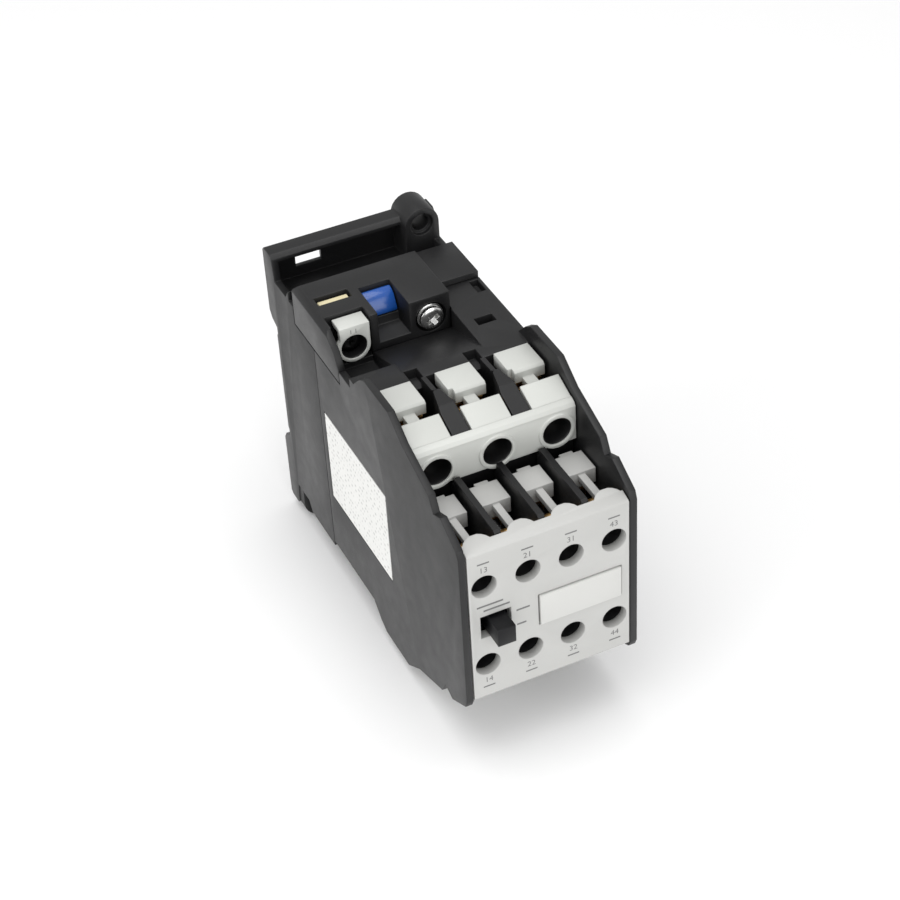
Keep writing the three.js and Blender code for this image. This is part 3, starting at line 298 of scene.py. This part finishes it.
def place_group(n, tree, values):
    """Puts a shared effect into one material, with that material's own values."""
    node = n.add("ShaderNodeGroup", node_tree=tree)
    for key, value in values.items():
        n.feed(node.inputs[key], value)
    return node.outputs


def start_material(name):
    """A new material, its nodes and its Principled BSDF."""
    material = bpy.data.materials.new(name)
    material.use_nodes = True
    n = Nodes(material.node_tree)
    return material, n, material.node_tree.nodes["Principled BSDF"]


def dress(n, shader, colour, surface):
    """Gives the shader its colour, and the roughness and normal of a surface effect."""
    n.feed(shader.inputs["Base Color"], colour)
    n.feed(shader.inputs["Roughness"], surface["Roughness"])
    n.feed(shader.inputs["Normal"], surface["Normal"])


def plastic(name, colour, roughness, grain_scale=5200.0, grain_depth=0.00002, tone=0.15, wear=0.35,
            worn=(0.3, 0.3, 0.3), edge=0.0003, coat=0.0, specular=0.5):
    """A moulded plastic, with its edges rubbed to the worn colour."""
    material, n, shader = start_material(name)
    edges = place_group(n, EDGE_WEAR, {"Radius": edge, "Amount": wear})
    surface = place_group(n, MOULDED_GRAIN, {
        "Colour": (*colour, 1),
        "Roughness": roughness,
        "Grain Scale": grain_scale,
        "Grain Depth": grain_depth,
        "Tone Change": tone,
        "Rounded": edges["Rounded"],
    })
    dress(n, shader, n.mix(edges["Mask"], surface["Colour"], (*worn, 1)), surface)
    shader.inputs["Specular IOR Level"].default_value = specular
    shader.inputs["Coat Weight"].default_value = coat
    shader.inputs["Coat Roughness"].default_value = 0.15
    return material


def metal(name, colour, tarnish, amount, roughness, line_scale=2500.0, line_depth=0.00001, edge=0.00015,
          stretch=(0.08, 1.0, 1.0)):
    """A metal with lines and tarnish, and with bright edges."""
    material, n, shader = start_material(name)
    edges = place_group(n, EDGE_WEAR, {"Radius": edge, "Amount": 0.6})
    surface = place_group(n, METAL_GRAIN, {
        "Colour": (*colour, 1),
        "Tarnish": (*tarnish, 1),
        "Tarnish Amount": amount,
        "Roughness": roughness,
        "Line Scale": line_scale,
        "Line Depth": line_depth,
        "Stretch": stretch,
        "Rounded": edges["Rounded"],
    })
    bright = tuple(min(1, 1.25 * c) for c in colour)
    dress(n, shader, n.mix(edges["Mask"], surface["Colour"], (*bright, 1)), surface)
    shader.inputs["Metallic"].default_value = 1.0
    return material


def floor_finish():
    """Pale paper with a faint fibre."""
    material, n, shader = start_material("floor_paper")
    place = n.add("ShaderNodeTexCoord").outputs["Object"]
    fibre = n.add("ShaderNodeTexNoise", {"Vector": place, "Scale": 900.0, "Detail": 3.0})
    bump = n.add("ShaderNodeBump", {"Height": fibre.outputs[0], "Distance": 0.00002})
    n.tree.links.new(bump.outputs[0], shader.inputs["Normal"])
    shader.inputs["Base Color"].default_value = (0.93, 0.93, 0.93, 1)
    shader.inputs["Roughness"].default_value = 0.9
    return material


# ------------------------------------------------------------------ mesh helpers

BODY_OF = {node: body for body, nodes in frame["record"]["behaviour"]["bodies"].items() for node in nodes}
SLOT_OF = {part["node"]: part["material_slot"] for part in frame["record"]["subparts"]}


def add_piece(name, mesh, *materials):
    """Turns a bmesh into an object of that name."""
    data = bpy.data.meshes.new(name)
    mesh.to_mesh(data)
    mesh.free()
    for material in materials:
        data.materials.append(material)
    piece = bpy.data.objects.new(name, data)
    bpy.context.scene.collection.objects.link(piece)
    return piece


def fit_piece(name, mesh, slot, body="housing", stands_for=(), material=None):
    """Adds a piece with its slot's finish, sets it on its body and hides the nodes that it stands for."""
    piece = add_piece(name, mesh, material or FINISHES[slot])
    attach(piece, body)
    if stands_for:
        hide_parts(*stands_for)
    return piece


def middle_of(node):
    """The centre of a node's box."""
    low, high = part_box(node)
    return (low + high) / 2


def refinish(node, material):
    """Gives a CAD node its finish, and leaves its shape alone."""
    for slot in frame["nodes"][node].material_slots:
        slot.material = material


def baked(mesh, kind, **settings):
    """The mesh with one modifier applied."""
    holder = add_piece("workpiece", mesh)
    modifier = holder.modifiers.new("step", kind)
    for key, value in settings.items():
        setattr(modifier, key, value)
    bpy.context.view_layer.update()
    shaped = bmesh.new()
    shaped.from_object(holder, bpy.context.evaluated_depsgraph_get())
    old = holder.data
    bpy.data.objects.remove(holder)
    bpy.data.meshes.remove(old)
    return shaped


def rounded(mesh, width, segments=2, angle=35):
    """The mesh with its sharp edges rounded to that width."""
    return baked(mesh, "BEVEL", width=width, segments=segments, limit_method="ANGLE",
                 angle_limit=math.radians(angle), use_clamp_overlap=True, loop_slide=True)


def carved(mesh, cutter):
    """The mesh less the cutter."""
    tool = add_piece("cutter", cutter)
    shaped = baked(mesh, "BOOLEAN", operation="DIFFERENCE", object=tool, solver="EXACT")
    old = tool.data
    bpy.data.objects.remove(tool)
    bpy.data.meshes.remove(old)
    return shaped


def joined(meshes):
    """Several meshes as one."""
    whole = bmesh.new()
    for mesh in meshes:
        data = bpy.data.meshes.new("part")
        mesh.to_mesh(data)
        mesh.free()
        whole.from_mesh(data)
        bpy.data.meshes.remove(data)
    return whole


def moved(mesh, offset):
    """The mesh, shifted."""
    bmesh.ops.translate(mesh, vec=Vector(offset), verts=mesh.verts)
    return mesh


def turned(profile, segments=40):
    """A turned part along Y. The profile is a list of [radius, distance back] pairs, from axis to axis."""
    mesh = bmesh.new()
    rings = []
    steps = [2 * math.pi * i / segments for i in range(segments)]
    for radius, back in profile:
        if radius == 0:
            rings.append([mesh.verts.new((0, back, 0))])
            continue
        rings.append([mesh.verts.new((radius * math.cos(t), back, radius * math.sin(t))) for t in steps])
    for first, second in zip(rings, rings[1:]):
        for i in range(segments):
            j = (i + 1) % segments
            near = [first[i % len(first)], first[j % len(first)]]
            far = [second[j % len(second)], second[i % len(second)]]
            mesh.faces.new(list(dict.fromkeys([*near, *far])))
    bmesh.ops.recalc_face_normals(mesh, faces=mesh.faces)
    return mesh


def skinned(mesh, rings):
    """Faces between closed rings of points, and over both ends."""
    for first, second in zip(rings, rings[1:]):
        for k in range(len(first)):
            j = (k + 1) % len(first)
            mesh.faces.new([first[k], first[j], second[j], second[k]])
    mesh.faces.new(rings[0])
    mesh.faces.new(rings[-1])
    bmesh.ops.recalc_face_normals(mesh, faces=mesh.faces)
    return mesh


def prism(outline, low, high, up="Z"):
    """An outline of points run between two heights: [x, y] run up Z, or [x, z] run back along Y."""
    mesh = bmesh.new()
    ends = []
    for level in (low, high):
        spots = [(a, b, level) if up == "Z" else (a, level, b) for a, b in outline]
        ends.append([mesh.verts.new(spot) for spot in spots])
    mesh.faces.new(ends[0])
    mesh.faces.new(ends[1])
    for i in range(len(outline)):
        j = (i + 1) % len(outline)
        mesh.faces.new([ends[0][i], ends[0][j], ends[1][j], ends[1][i]])
    bmesh.ops.recalc_face_normals(mesh, faces=mesh.faces)
    return mesh


def block(low, high):
    """An oblong between two corners."""
    outline = [(low[0], low[1]), (high[0], low[1]), (high[0], high[1]), (low[0], high[1])]
    return prism(outline, low[2], high[2])


def shade_round(piece, angle=40):
    """Smooth shading over round faces, with the sharp edges kept."""
    mesh = bmesh.new()
    mesh.from_mesh(piece.data)
    for face in mesh.faces:
        face.smooth = True
    for edge in mesh.edges:
        edge.smooth = len(edge.link_faces) == 2 and edge.calc_face_angle(0) < math.radians(angle)
    mesh.to_mesh(piece.data)
    mesh.free()
    return piece


# ------------------------------------------------------------------ finishes

black = plastic("housing_black", (0.0075, 0.0075, 0.008), 0.44, worn=(0.05, 0.05, 0.05), tone=0.06, wear=0.3,
                specular=0.44)
dark = plastic("carrier_black", (0.004, 0.004, 0.005), 0.34, worn=(0.05, 0.05, 0.05), tone=0.1, specular=0.25)
grey = plastic("plate_grey", (0.5, 0.5, 0.485), 0.42, worn=(0.72, 0.72, 0.7), wear=0.25, tone=0.05)
white = plastic("cover_white", (0.58, 0.59, 0.56), 0.4, worn=(0.85, 0.85, 0.82), wear=0.25, tone=0.05)
blue = plastic("plug_blue", (0.008, 0.075, 0.34), 0.22, worn=(0.2, 0.4, 0.8), coat=0.4, tone=0.08)
cream = plastic("marker_cream", (0.74, 0.66, 0.42), 0.45, worn=(0.85, 0.78, 0.55), tone=0.08)
ink = plastic("print_ink", (0.16, 0.16, 0.16), 0.6, worn=(0.3, 0.3, 0.3), grain_depth=0.000004, edge=0.00002)
brass = metal("brass", (0.72, 0.45, 0.18), (0.3, 0.12, 0.04), 0.4, 0.28)
silver = metal("contact_silver", (0.68, 0.66, 0.62), (0.3, 0.27, 0.24), 0.4, 0.32)
# Painted shade: a near-black steel for the A1 coil screw, which stands in for the shade inside the cap's
# hole; the screw's slot is nickel like the other screws.
hole_shade_steel = metal("blackened_steel", (0.05, 0.05, 0.05), (0.03, 0.03, 0.03), 0.4, 0.4)
nickel = metal("nickel", (0.76, 0.76, 0.75), (0.42, 0.42, 0.42), 0.25, 0.16)
copper = metal("copper", (0.55, 0.2, 0.09), (0.25, 0.08, 0.04), 0.3, 0.35)
steel = metal("magnet_steel", (0.33, 0.33, 0.34), (0.16, 0.15, 0.14), 0.5, 0.42, line_scale=1400.0,
              line_depth=0.00006, stretch=(0.01, 0.01, 1.0))
spring_steel = metal("spring_steel", (0.42, 0.42, 0.42), (0.2, 0.2, 0.2), 0.3, 0.3)


def printed_label(name, colour, print_colour):
    """Paper with faint rows of print, too small to read: dashes whose lengths change along each row."""
    material, n, shader = start_material(name)
    edges = place_group(n, EDGE_WEAR, {"Radius": 0.0001, "Amount": 0.1})
    surface = place_group(n, MOULDED_GRAIN, {
        "Colour": (*colour, 1),
        "Roughness": 0.6,
        "Grain Scale": 7000.0,
        "Grain Depth": 0.000008,
        "Tone Change": 0.06,
        "Rounded": edges["Rounded"],
    })
    place = n.add("ShaderNodeTexCoord").outputs["Object"]
    axes = n.add("ShaderNodeSeparateXYZ", {0: place})
    row = n.math("MULTIPLY", axes.outputs["Z"], LABEL_ROWS_PER_METRE)
    within = n.math("FRACT", row)
    on_row = n.math("MULTIPLY", n.ramp(within, 0.25, 0.4), n.ramp(n.math("SUBTRACT", 1.0, within), 0.2, 0.35))
    number = n.math("FLOOR", row)
    along_row = n.math("MULTIPLY", axes.outputs["Y"], LABEL_DASHES_PER_METRE)
    spot = n.add("ShaderNodeCombineXYZ", {0: along_row, 1: number})
    dashes = n.add("ShaderNodeTexNoise", {"Vector": spot.outputs[0], "Scale": 1.0, "Detail": 1.0})
    printed = n.math("MULTIPLY", on_row, n.ramp(dashes.outputs[0], 0.5, 0.58), clamp=True)
    faint = n.math("MULTIPLY", printed, 0.55)
    dress(n, shader, n.mix(faint, surface["Colour"], (*print_colour, 1)), surface)
    return material


LABEL_ROWS_PER_METRE = 620.0
LABEL_DASHES_PER_METRE = 900.0
paper = printed_label("label_paper", (0.72, 0.72, 0.7), (0.3, 0.3, 0.29))
blank = plastic("inscription_white", (0.6, 0.6, 0.58), 0.45, grain_depth=0.00001, wear=0.1, edge=0.0001,
                tone=0.04)
FINISHES = {
    "housing_black": black,
    "plate_grey": grey,
    "cover_white": white,
    "plug_blue": blue,
    "marker_cream": cream,
    "label_paper": paper,
    "brass": brass,
    "contact_silver": silver,
    "nickel": nickel,
    "copper": copper,
    "magnet_steel": steel,
    "spring_steel": spring_steel,
}

for node, slot_name in SLOT_OF.items():
    refinish(node, FINISHES[slot_name])
refinish("contact_carrier", dark)
refinish("inscription_plate", blank)

# ------------------------------------------------------------------ mouldings with rounded edges

SAME_POINT = 0.0005 * MM
FLAT_WITHIN = 0.6


def mould(node, width, material=None):
    """A node's own shape with its outer and inner edges rounded, as they leave the mould."""
    mesh = bmesh.new()
    mesh.from_mesh(frame["nodes"][node].data)
    bmesh.ops.remove_doubles(mesh, verts=mesh.verts, dist=SAME_POINT)
    bmesh.ops.dissolve_limit(mesh, angle_limit=math.radians(FLAT_WITHIN), verts=mesh.verts, edges=mesh.edges)
    soft = rounded(mesh, width * MM)
    piece = fit_piece(node + "_moulding", soft, SLOT_OF[node], BODY_OF[node], (node,), material)
    return shade_round(piece, 30)


# Edge widths in millimetres.
MOULDINGS = {
    "front_plate": 0.12,
    "main_cover_top": 0.16,
    "main_cover_bottom": 0.16,
    "coil_cap_a1": 0.2,
    "suppressor_plug": 0.25,
    "coil_marker_strip": 0.2,
    "coil_terminal_block": 0.3,
    "base_housing": 0.25,
    "contact_housing": 0.25,
    "rail_latch": 0.2,
    "coil_bobbin": 0.2,
}
for node, edge_width in MOULDINGS.items():
    mould(node, edge_width)
mould("inscription_plate", 0.15, blank)
mould("contact_carrier", 0.2, dark)

# ------------------------------------------------------------------ screws and clamps

THREAD_PITCH = 0.7
RECESS_DEPTH = 1.3
TURN_BETWEEN_SCREWS = 37
SCREW_RISE = {"main_screw": 2.6, "aux_screw": 2.2, "coil_screw": 2.4}
# The A1 coil screw takes the painted-shade steel, so that its hole reads dark.
SCREW_METAL = {"coil_screw_a1": hole_shade_steel}


def threaded_shank(radius, start, end):
    """The thread's crests and roots, then the point."""
    points = []
    back = start
    while back + THREAD_PITCH * MM < end - 0.5 * MM:
        points += [(radius, back + 0.15 * MM), (radius - 0.3 * MM, back + 0.5 * MM)]
        back += THREAD_PITCH * MM
    return [*points, (radius - 0.2 * MM, back + 0.3 * MM), (radius * 0.6, end - 0.1 * MM), (0, end)]


def screw_head(radius, rise):
    """A cheese head with a domed top and a washer under it."""
    washer = 0.7 * MM
    return [
        (0, 0),
        (radius * 0.55, 0.08 * MM),
        (radius - 0.75 * MM, 0.22 * MM),
        (radius - 0.4 * MM, 0.5 * MM),
        (radius - 0.4 * MM, rise - washer),
        (radius - 0.05 * MM, rise - washer + 0.05 * MM),
        (radius, rise - washer + 0.2 * MM),
        (radius, rise - 0.05 * MM),
    ]


def cross_recess(radius, depth):
    """The cutter for a cross recess: two tapered bars."""
    half = radius * 0.17
    mouth, floor = radius * 0.56, radius * 0.2
    outline = [(-mouth, -0.2 * MM), (mouth, -0.2 * MM), (floor, depth), (-floor, depth)]
    bars = []
    for turn in range(2):
        bar = prism(outline, -half, half)
        bmesh.ops.rotate(bar, matrix=Matrix.Rotation(math.radians(45 + 90 * turn), 3, "Y"), verts=bar.verts)
        bars.append(bar)
    return bars


def make_screw(node, turn):
    """A combination-head terminal screw in place of a node."""
    low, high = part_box(node)
    radius = (high.z - low.z) / 2
    length = high.y - low.y
    rise = SCREW_RISE[node.rsplit("_", 1)[0].replace("_top", "").replace("_bottom", "")] * MM
    shank = radius * 0.57
    profile = [*screw_head(radius, rise), *threaded_shank(shank, rise, length)]
    mesh = turned(profile)
    for bar in cross_recess(radius, RECESS_DEPTH * MM):
        mesh = carved(mesh, bar)
    bmesh.ops.rotate(mesh, matrix=Matrix.Rotation(math.radians(turn), 3, "Y"), verts=mesh.verts)
    place = middle_of(node)
    moved(mesh, (place.x, low.y, place.z))
    piece = fit_piece(node + "_turned", mesh, "nickel", "housing", (node,), SCREW_METAL.get(node))
    return shade_round(piece, 35)


for count, node in enumerate(node for node in SLOT_OF if "_screw" in node):
    make_screw(node, TURN_BETWEEN_SCREWS * count % 90)


CLAMP_SHEET = 1.0 * MM
CLAMP_EDGE = 0.12 * MM
CLAMP_SINK = 0.1 * MM
MAIN_CLAMP = (4.4 * MM, 4.1 * MM, 2.2 * MM)
AUX_CLAMP = (3.3 * MM, 3.1 * MM, 1.4 * MM)


def clamp_saddle(name, node, half, spread, lip):
    """A square clamp under a screw head, with its two sides folded forward by lip."""
    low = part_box(node)[0]
    sheet = CLAMP_SHEET
    place = middle_of(node)
    back = low.y + SCREW_RISE[node.split("_")[0] + "_screw"] * MM
    outline = [
        (-half, back - lip), (-half + sheet * 0.8, back - lip), (-half + sheet, back), (half - sheet, back),
        (half - sheet * 0.8, back - lip), (half, back - lip), (half, back + sheet), (-half, back + sheet),
    ]
    mesh = rounded(prism(outline, -spread, spread), CLAMP_EDGE)
    moved(mesh, (place.x, CLAMP_SINK, place.z))
    return shade_round(fit_piece(name, mesh, "brass"), 30)


for side in ("top", "bottom"):
    for pole in range(1, 4):
        clamp_saddle(f"main_clamp_{side}_{pole}", f"main_screw_{side}_{pole}", *MAIN_CLAMP)
    for pole in range(1, 5):
        clamp_saddle(f"aux_clamp_{side}_{pole}", f"aux_screw_{side}_{pole}", *AUX_CLAMP)

# ------------------------------------------------------------------ screwdriver guides

# Each guide's outer radius, inner radius and length.
MAIN_GUIDE = (3.78 * MM, 3.5 * MM, 9 * MM)
AUX_GUIDE = (3.6 * MM, 3.25 * MM, 6 * MM)
CAP_GUIDE = (3.38 * MM, 3.1 * MM, 2.6 * MM)
COVER_SINK = 0.5 * MM
PLATE_BACK = 2.6 * MM
CAP_SINK = 0.3 * MM


def guide_tube(name, node, front, outside, inside, length):
    """A thin black tube that leads a screwdriver from a hole to the screw behind it, with a flared mouth."""
    place = middle_of(node)
    profile = [
        (inside + 0.25 * MM, 0),
        (outside, 0),
        (outside, length),
        (inside, length),
        (inside, 0.5 * MM),
    ]
    mesh = turned([*profile, profile[0]], 48)
    bmesh.ops.remove_doubles(mesh, verts=mesh.verts, dist=0.001 * MM)
    bmesh.ops.recalc_face_normals(mesh, faces=mesh.faces)
    moved(mesh, (place.x, front, place.z))
    return shade_round(fit_piece(name, mesh, "housing_black"), 35)


plate_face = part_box("front_plate")[0].y
for side in ("top", "bottom"):
    cover_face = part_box(f"main_cover_{side}")[0].y
    for pole in range(1, 4):
        guide_tube(f"screw_guide_{side}_{pole}", f"main_screw_{side}_{pole}",
                   cover_face + COVER_SINK, *MAIN_GUIDE)
    for pole in range(1, 5):
        guide_tube(f"screw_guide_aux_{side}_{pole}", f"aux_screw_{side}_{pole}",
                   plate_face + PLATE_BACK, *AUX_GUIDE)
guide_tube("screw_guide_a1", "coil_screw_a1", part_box("coil_cap_a1")[0].y + CAP_SINK, *CAP_GUIDE)

# ------------------------------------------------------------------ springs and winding


def wire_coil(centre, radius, wire, length, turns, along):
    """Round spring wire, with a closed turn at each end. along is the axis, as 1 for Y or 2 for Z."""
    steps, sides = 40, 10
    total = int(steps * turns)
    mesh = bmesh.new()
    rings = []
    for i in range(total + 1):
        share = i / total
        angle = 2 * math.pi * turns * share
        closed = 1 / turns
        rise = min(max((share - closed) / (1 - 2 * closed), 0), 1)
        pitch = wire + (length - 2 * wire) * (0.12 * share + 0.88 * rise)
        out = Vector((math.cos(angle), math.sin(angle), 0))
        ring = []
        for k in range(sides):
            bend = 2 * math.pi * k / sides
            spot = out * (radius + wire * math.cos(bend)) + Vector((0, 0, pitch + wire * math.sin(bend)))
            spot = Vector((spot.x, spot.z, spot.y)) if along == 1 else spot
            ring.append(mesh.verts.new(centre + spot))
        rings.append(ring)
    return skinned(mesh, rings)


def squashed_spring(node, along, wire, turns, held_high):
    """A spring in place of a node, with its own copy of the mesh."""
    low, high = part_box(node)
    length = high[along] - low[along]
    radius = (high.x - low.x) / 2 - wire
    start = middle_of(node)
    start[along] = low[along]
    mesh = wire_coil(start, radius, wire, length, turns, along)
    piece = shade_round(fit_piece(node + "_wire", mesh, "spring_steel", "housing", (node,)), 60)
    anchor = middle_of(node)
    anchor[along] = high[along] if held_high else low[along]
    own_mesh(piece)


RETURN_WIRE = 0.35 * MM
RETURN_TURNS = 6
LATCH_WIRE = 0.2 * MM
LATCH_TURNS = 5
for side in ("top", "bottom"):
    squashed_spring(f"return_spring_{side}", 1, RETURN_WIRE, RETURN_TURNS,
                    held_high=True)
squashed_spring("latch_spring", 2, LATCH_WIRE, LATCH_TURNS, held_high=False)

COIL_TURNS = 44
COIL_CORNER = 2.4 * MM
CORNER_STEPS = 6
GROOVE = 0.14 * MM
BARREL_HALF = (6.2 * MM, 9.0 * MM)


def wound_coil():
    """The winding: layers of fine wire whose turns stand out all the way round, with rounded corners."""
    low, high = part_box("coil_winding")
    place = middle_of("coil_winding")
    half_x, half_z = (high.x - low.x) / 2, (high.z - low.z) / 2
    pitch = (high.y - low.y) / COIL_TURNS
    mesh = bmesh.new()
    rings = []
    for i in range(2 * COIL_TURNS + 1):
        inset = GROOVE if i % 2 == 0 else 0
        ring = []
        for quarter in range(4):
            side_x = 1 if quarter in (0, 3) else -1
            side_z = 1 if quarter in (0, 1) else -1
            for k in range(CORNER_STEPS + 1):
                angle = math.pi / 2 * (quarter + k / CORNER_STEPS)
                x = side_x * (half_x - COIL_CORNER) + (COIL_CORNER - inset) * math.cos(angle)
                z = side_z * (half_z - COIL_CORNER) + (COIL_CORNER - inset) * math.sin(angle)
                ring.append(mesh.verts.new((place.x + x, low.y + pitch * i / 2, place.z + z)))
        rings.append(ring)
    barrel_x, barrel_z = BARREL_HALF
    hollow = block(
        (place.x - barrel_x, low.y - MM, place.z - barrel_z),
        (place.x + barrel_x, high.y + MM, place.z + barrel_z),
    )
    wound = carved(skinned(mesh, rings), hollow)
    shade_round(fit_piece("coil_winding_wound", wound, "copper", "housing", ("coil_winding",)), 70)


wound_coil()

# ------------------------------------------------------------------ print on the front, in millimetres

TERMINAL_NUMBERS = {"top": ("13", "21", "31", "43"), "bottom": ("14", "22", "32", "44")}
INK_HEIGHT = 0.03
FIGURE_SIZE = 2.2
FIGURE_OFFSET = 4.9
RULE_OFFSET = 6.9
RULE_HALF_LENGTH = 1.5
RULE_HALF_WIDTH = 0.2
WINDOW_RULE_HALF_WIDTH = 0.25
CAP_FIGURE_SIZE = 1.7
CAP_FIGURE_OFFSET = 4.5
# Small rules round the indicator window: left end, right end and level, in millimetres.
WINDOW_RULES = ((-17, -10.4, 4.7), (-18.6, -12, 6.2), (-8.8, -5.4, 1.4), (-8.8, -6.4, -3))


def lettering(text, size):
    """Figures as a thin raised mesh that faces the front."""
    curve = bpy.data.curves.new("figures", "FONT")
    curve.body = text
    curve.size = size * MM
    curve.align_x = "CENTER"
    curve.align_y = "CENTER"
    curve.resolution_u = 3
    curve.extrude = INK_HEIGHT / 2 * MM
    holder = bpy.data.objects.new("figures", curve)
    bpy.context.scene.collection.objects.link(holder)
    bpy.context.view_layer.update()
    data = bpy.data.meshes.new_from_object(holder)
    mesh = bmesh.new()
    mesh.from_mesh(data)
    bpy.data.objects.remove(holder)
    bpy.data.curves.remove(curve)
    bpy.data.meshes.remove(data)
    bmesh.ops.rotate(mesh, matrix=Matrix.Rotation(math.radians(90), 3, "X"), verts=mesh.verts)
    return mesh


def print_front():
    """Terminal numbers with a short rule over or under each, and small rules round the indicator window."""
    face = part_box("front_plate")[0].y
    marks = []
    for side, numbers in TERMINAL_NUMBERS.items():
        sign = 1 if side == "top" else -1
        for i, number in enumerate(numbers, 1):
            place = middle_of(f"aux_screw_{side}_{i}")
            level = place.z + sign * FIGURE_OFFSET * MM
            marks.append(moved(lettering(number, FIGURE_SIZE), (place.x, face, level)))
            rule = place.z + sign * RULE_OFFSET * MM
            marks.append(block(
                (place.x - RULE_HALF_LENGTH * MM, face - INK_HEIGHT / 2 * MM, rule - RULE_HALF_WIDTH * MM),
                (place.x + RULE_HALF_LENGTH * MM, face + INK_HEIGHT / 2 * MM, rule + RULE_HALF_WIDTH * MM),
            ))
    for left, right, level in WINDOW_RULES:
        marks.append(block(
            (left * MM, face - INK_HEIGHT / 2 * MM, (level - WINDOW_RULE_HALF_WIDTH) * MM),
            (right * MM, face + INK_HEIGHT / 2 * MM, (level + WINDOW_RULE_HALF_WIDTH) * MM),
        ))
    fit_piece("front_plate_print", joined(marks), "plate_grey", material=ink)


def print_cap():
    """Two small figures over the hole of the coil cap."""
    place = middle_of("coil_screw_a1")
    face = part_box("coil_cap_a1")[0].y
    marks = moved(lettering("1 1", CAP_FIGURE_SIZE), (place.x, face, place.z + CAP_FIGURE_OFFSET * MM))
    fit_piece("coil_cap_print", marks, "cover_white", material=ink)


print_front()
print_cap()

# ------------------------------------------------------------------ stage

stand_camera()
lay_floor()
light_studio()
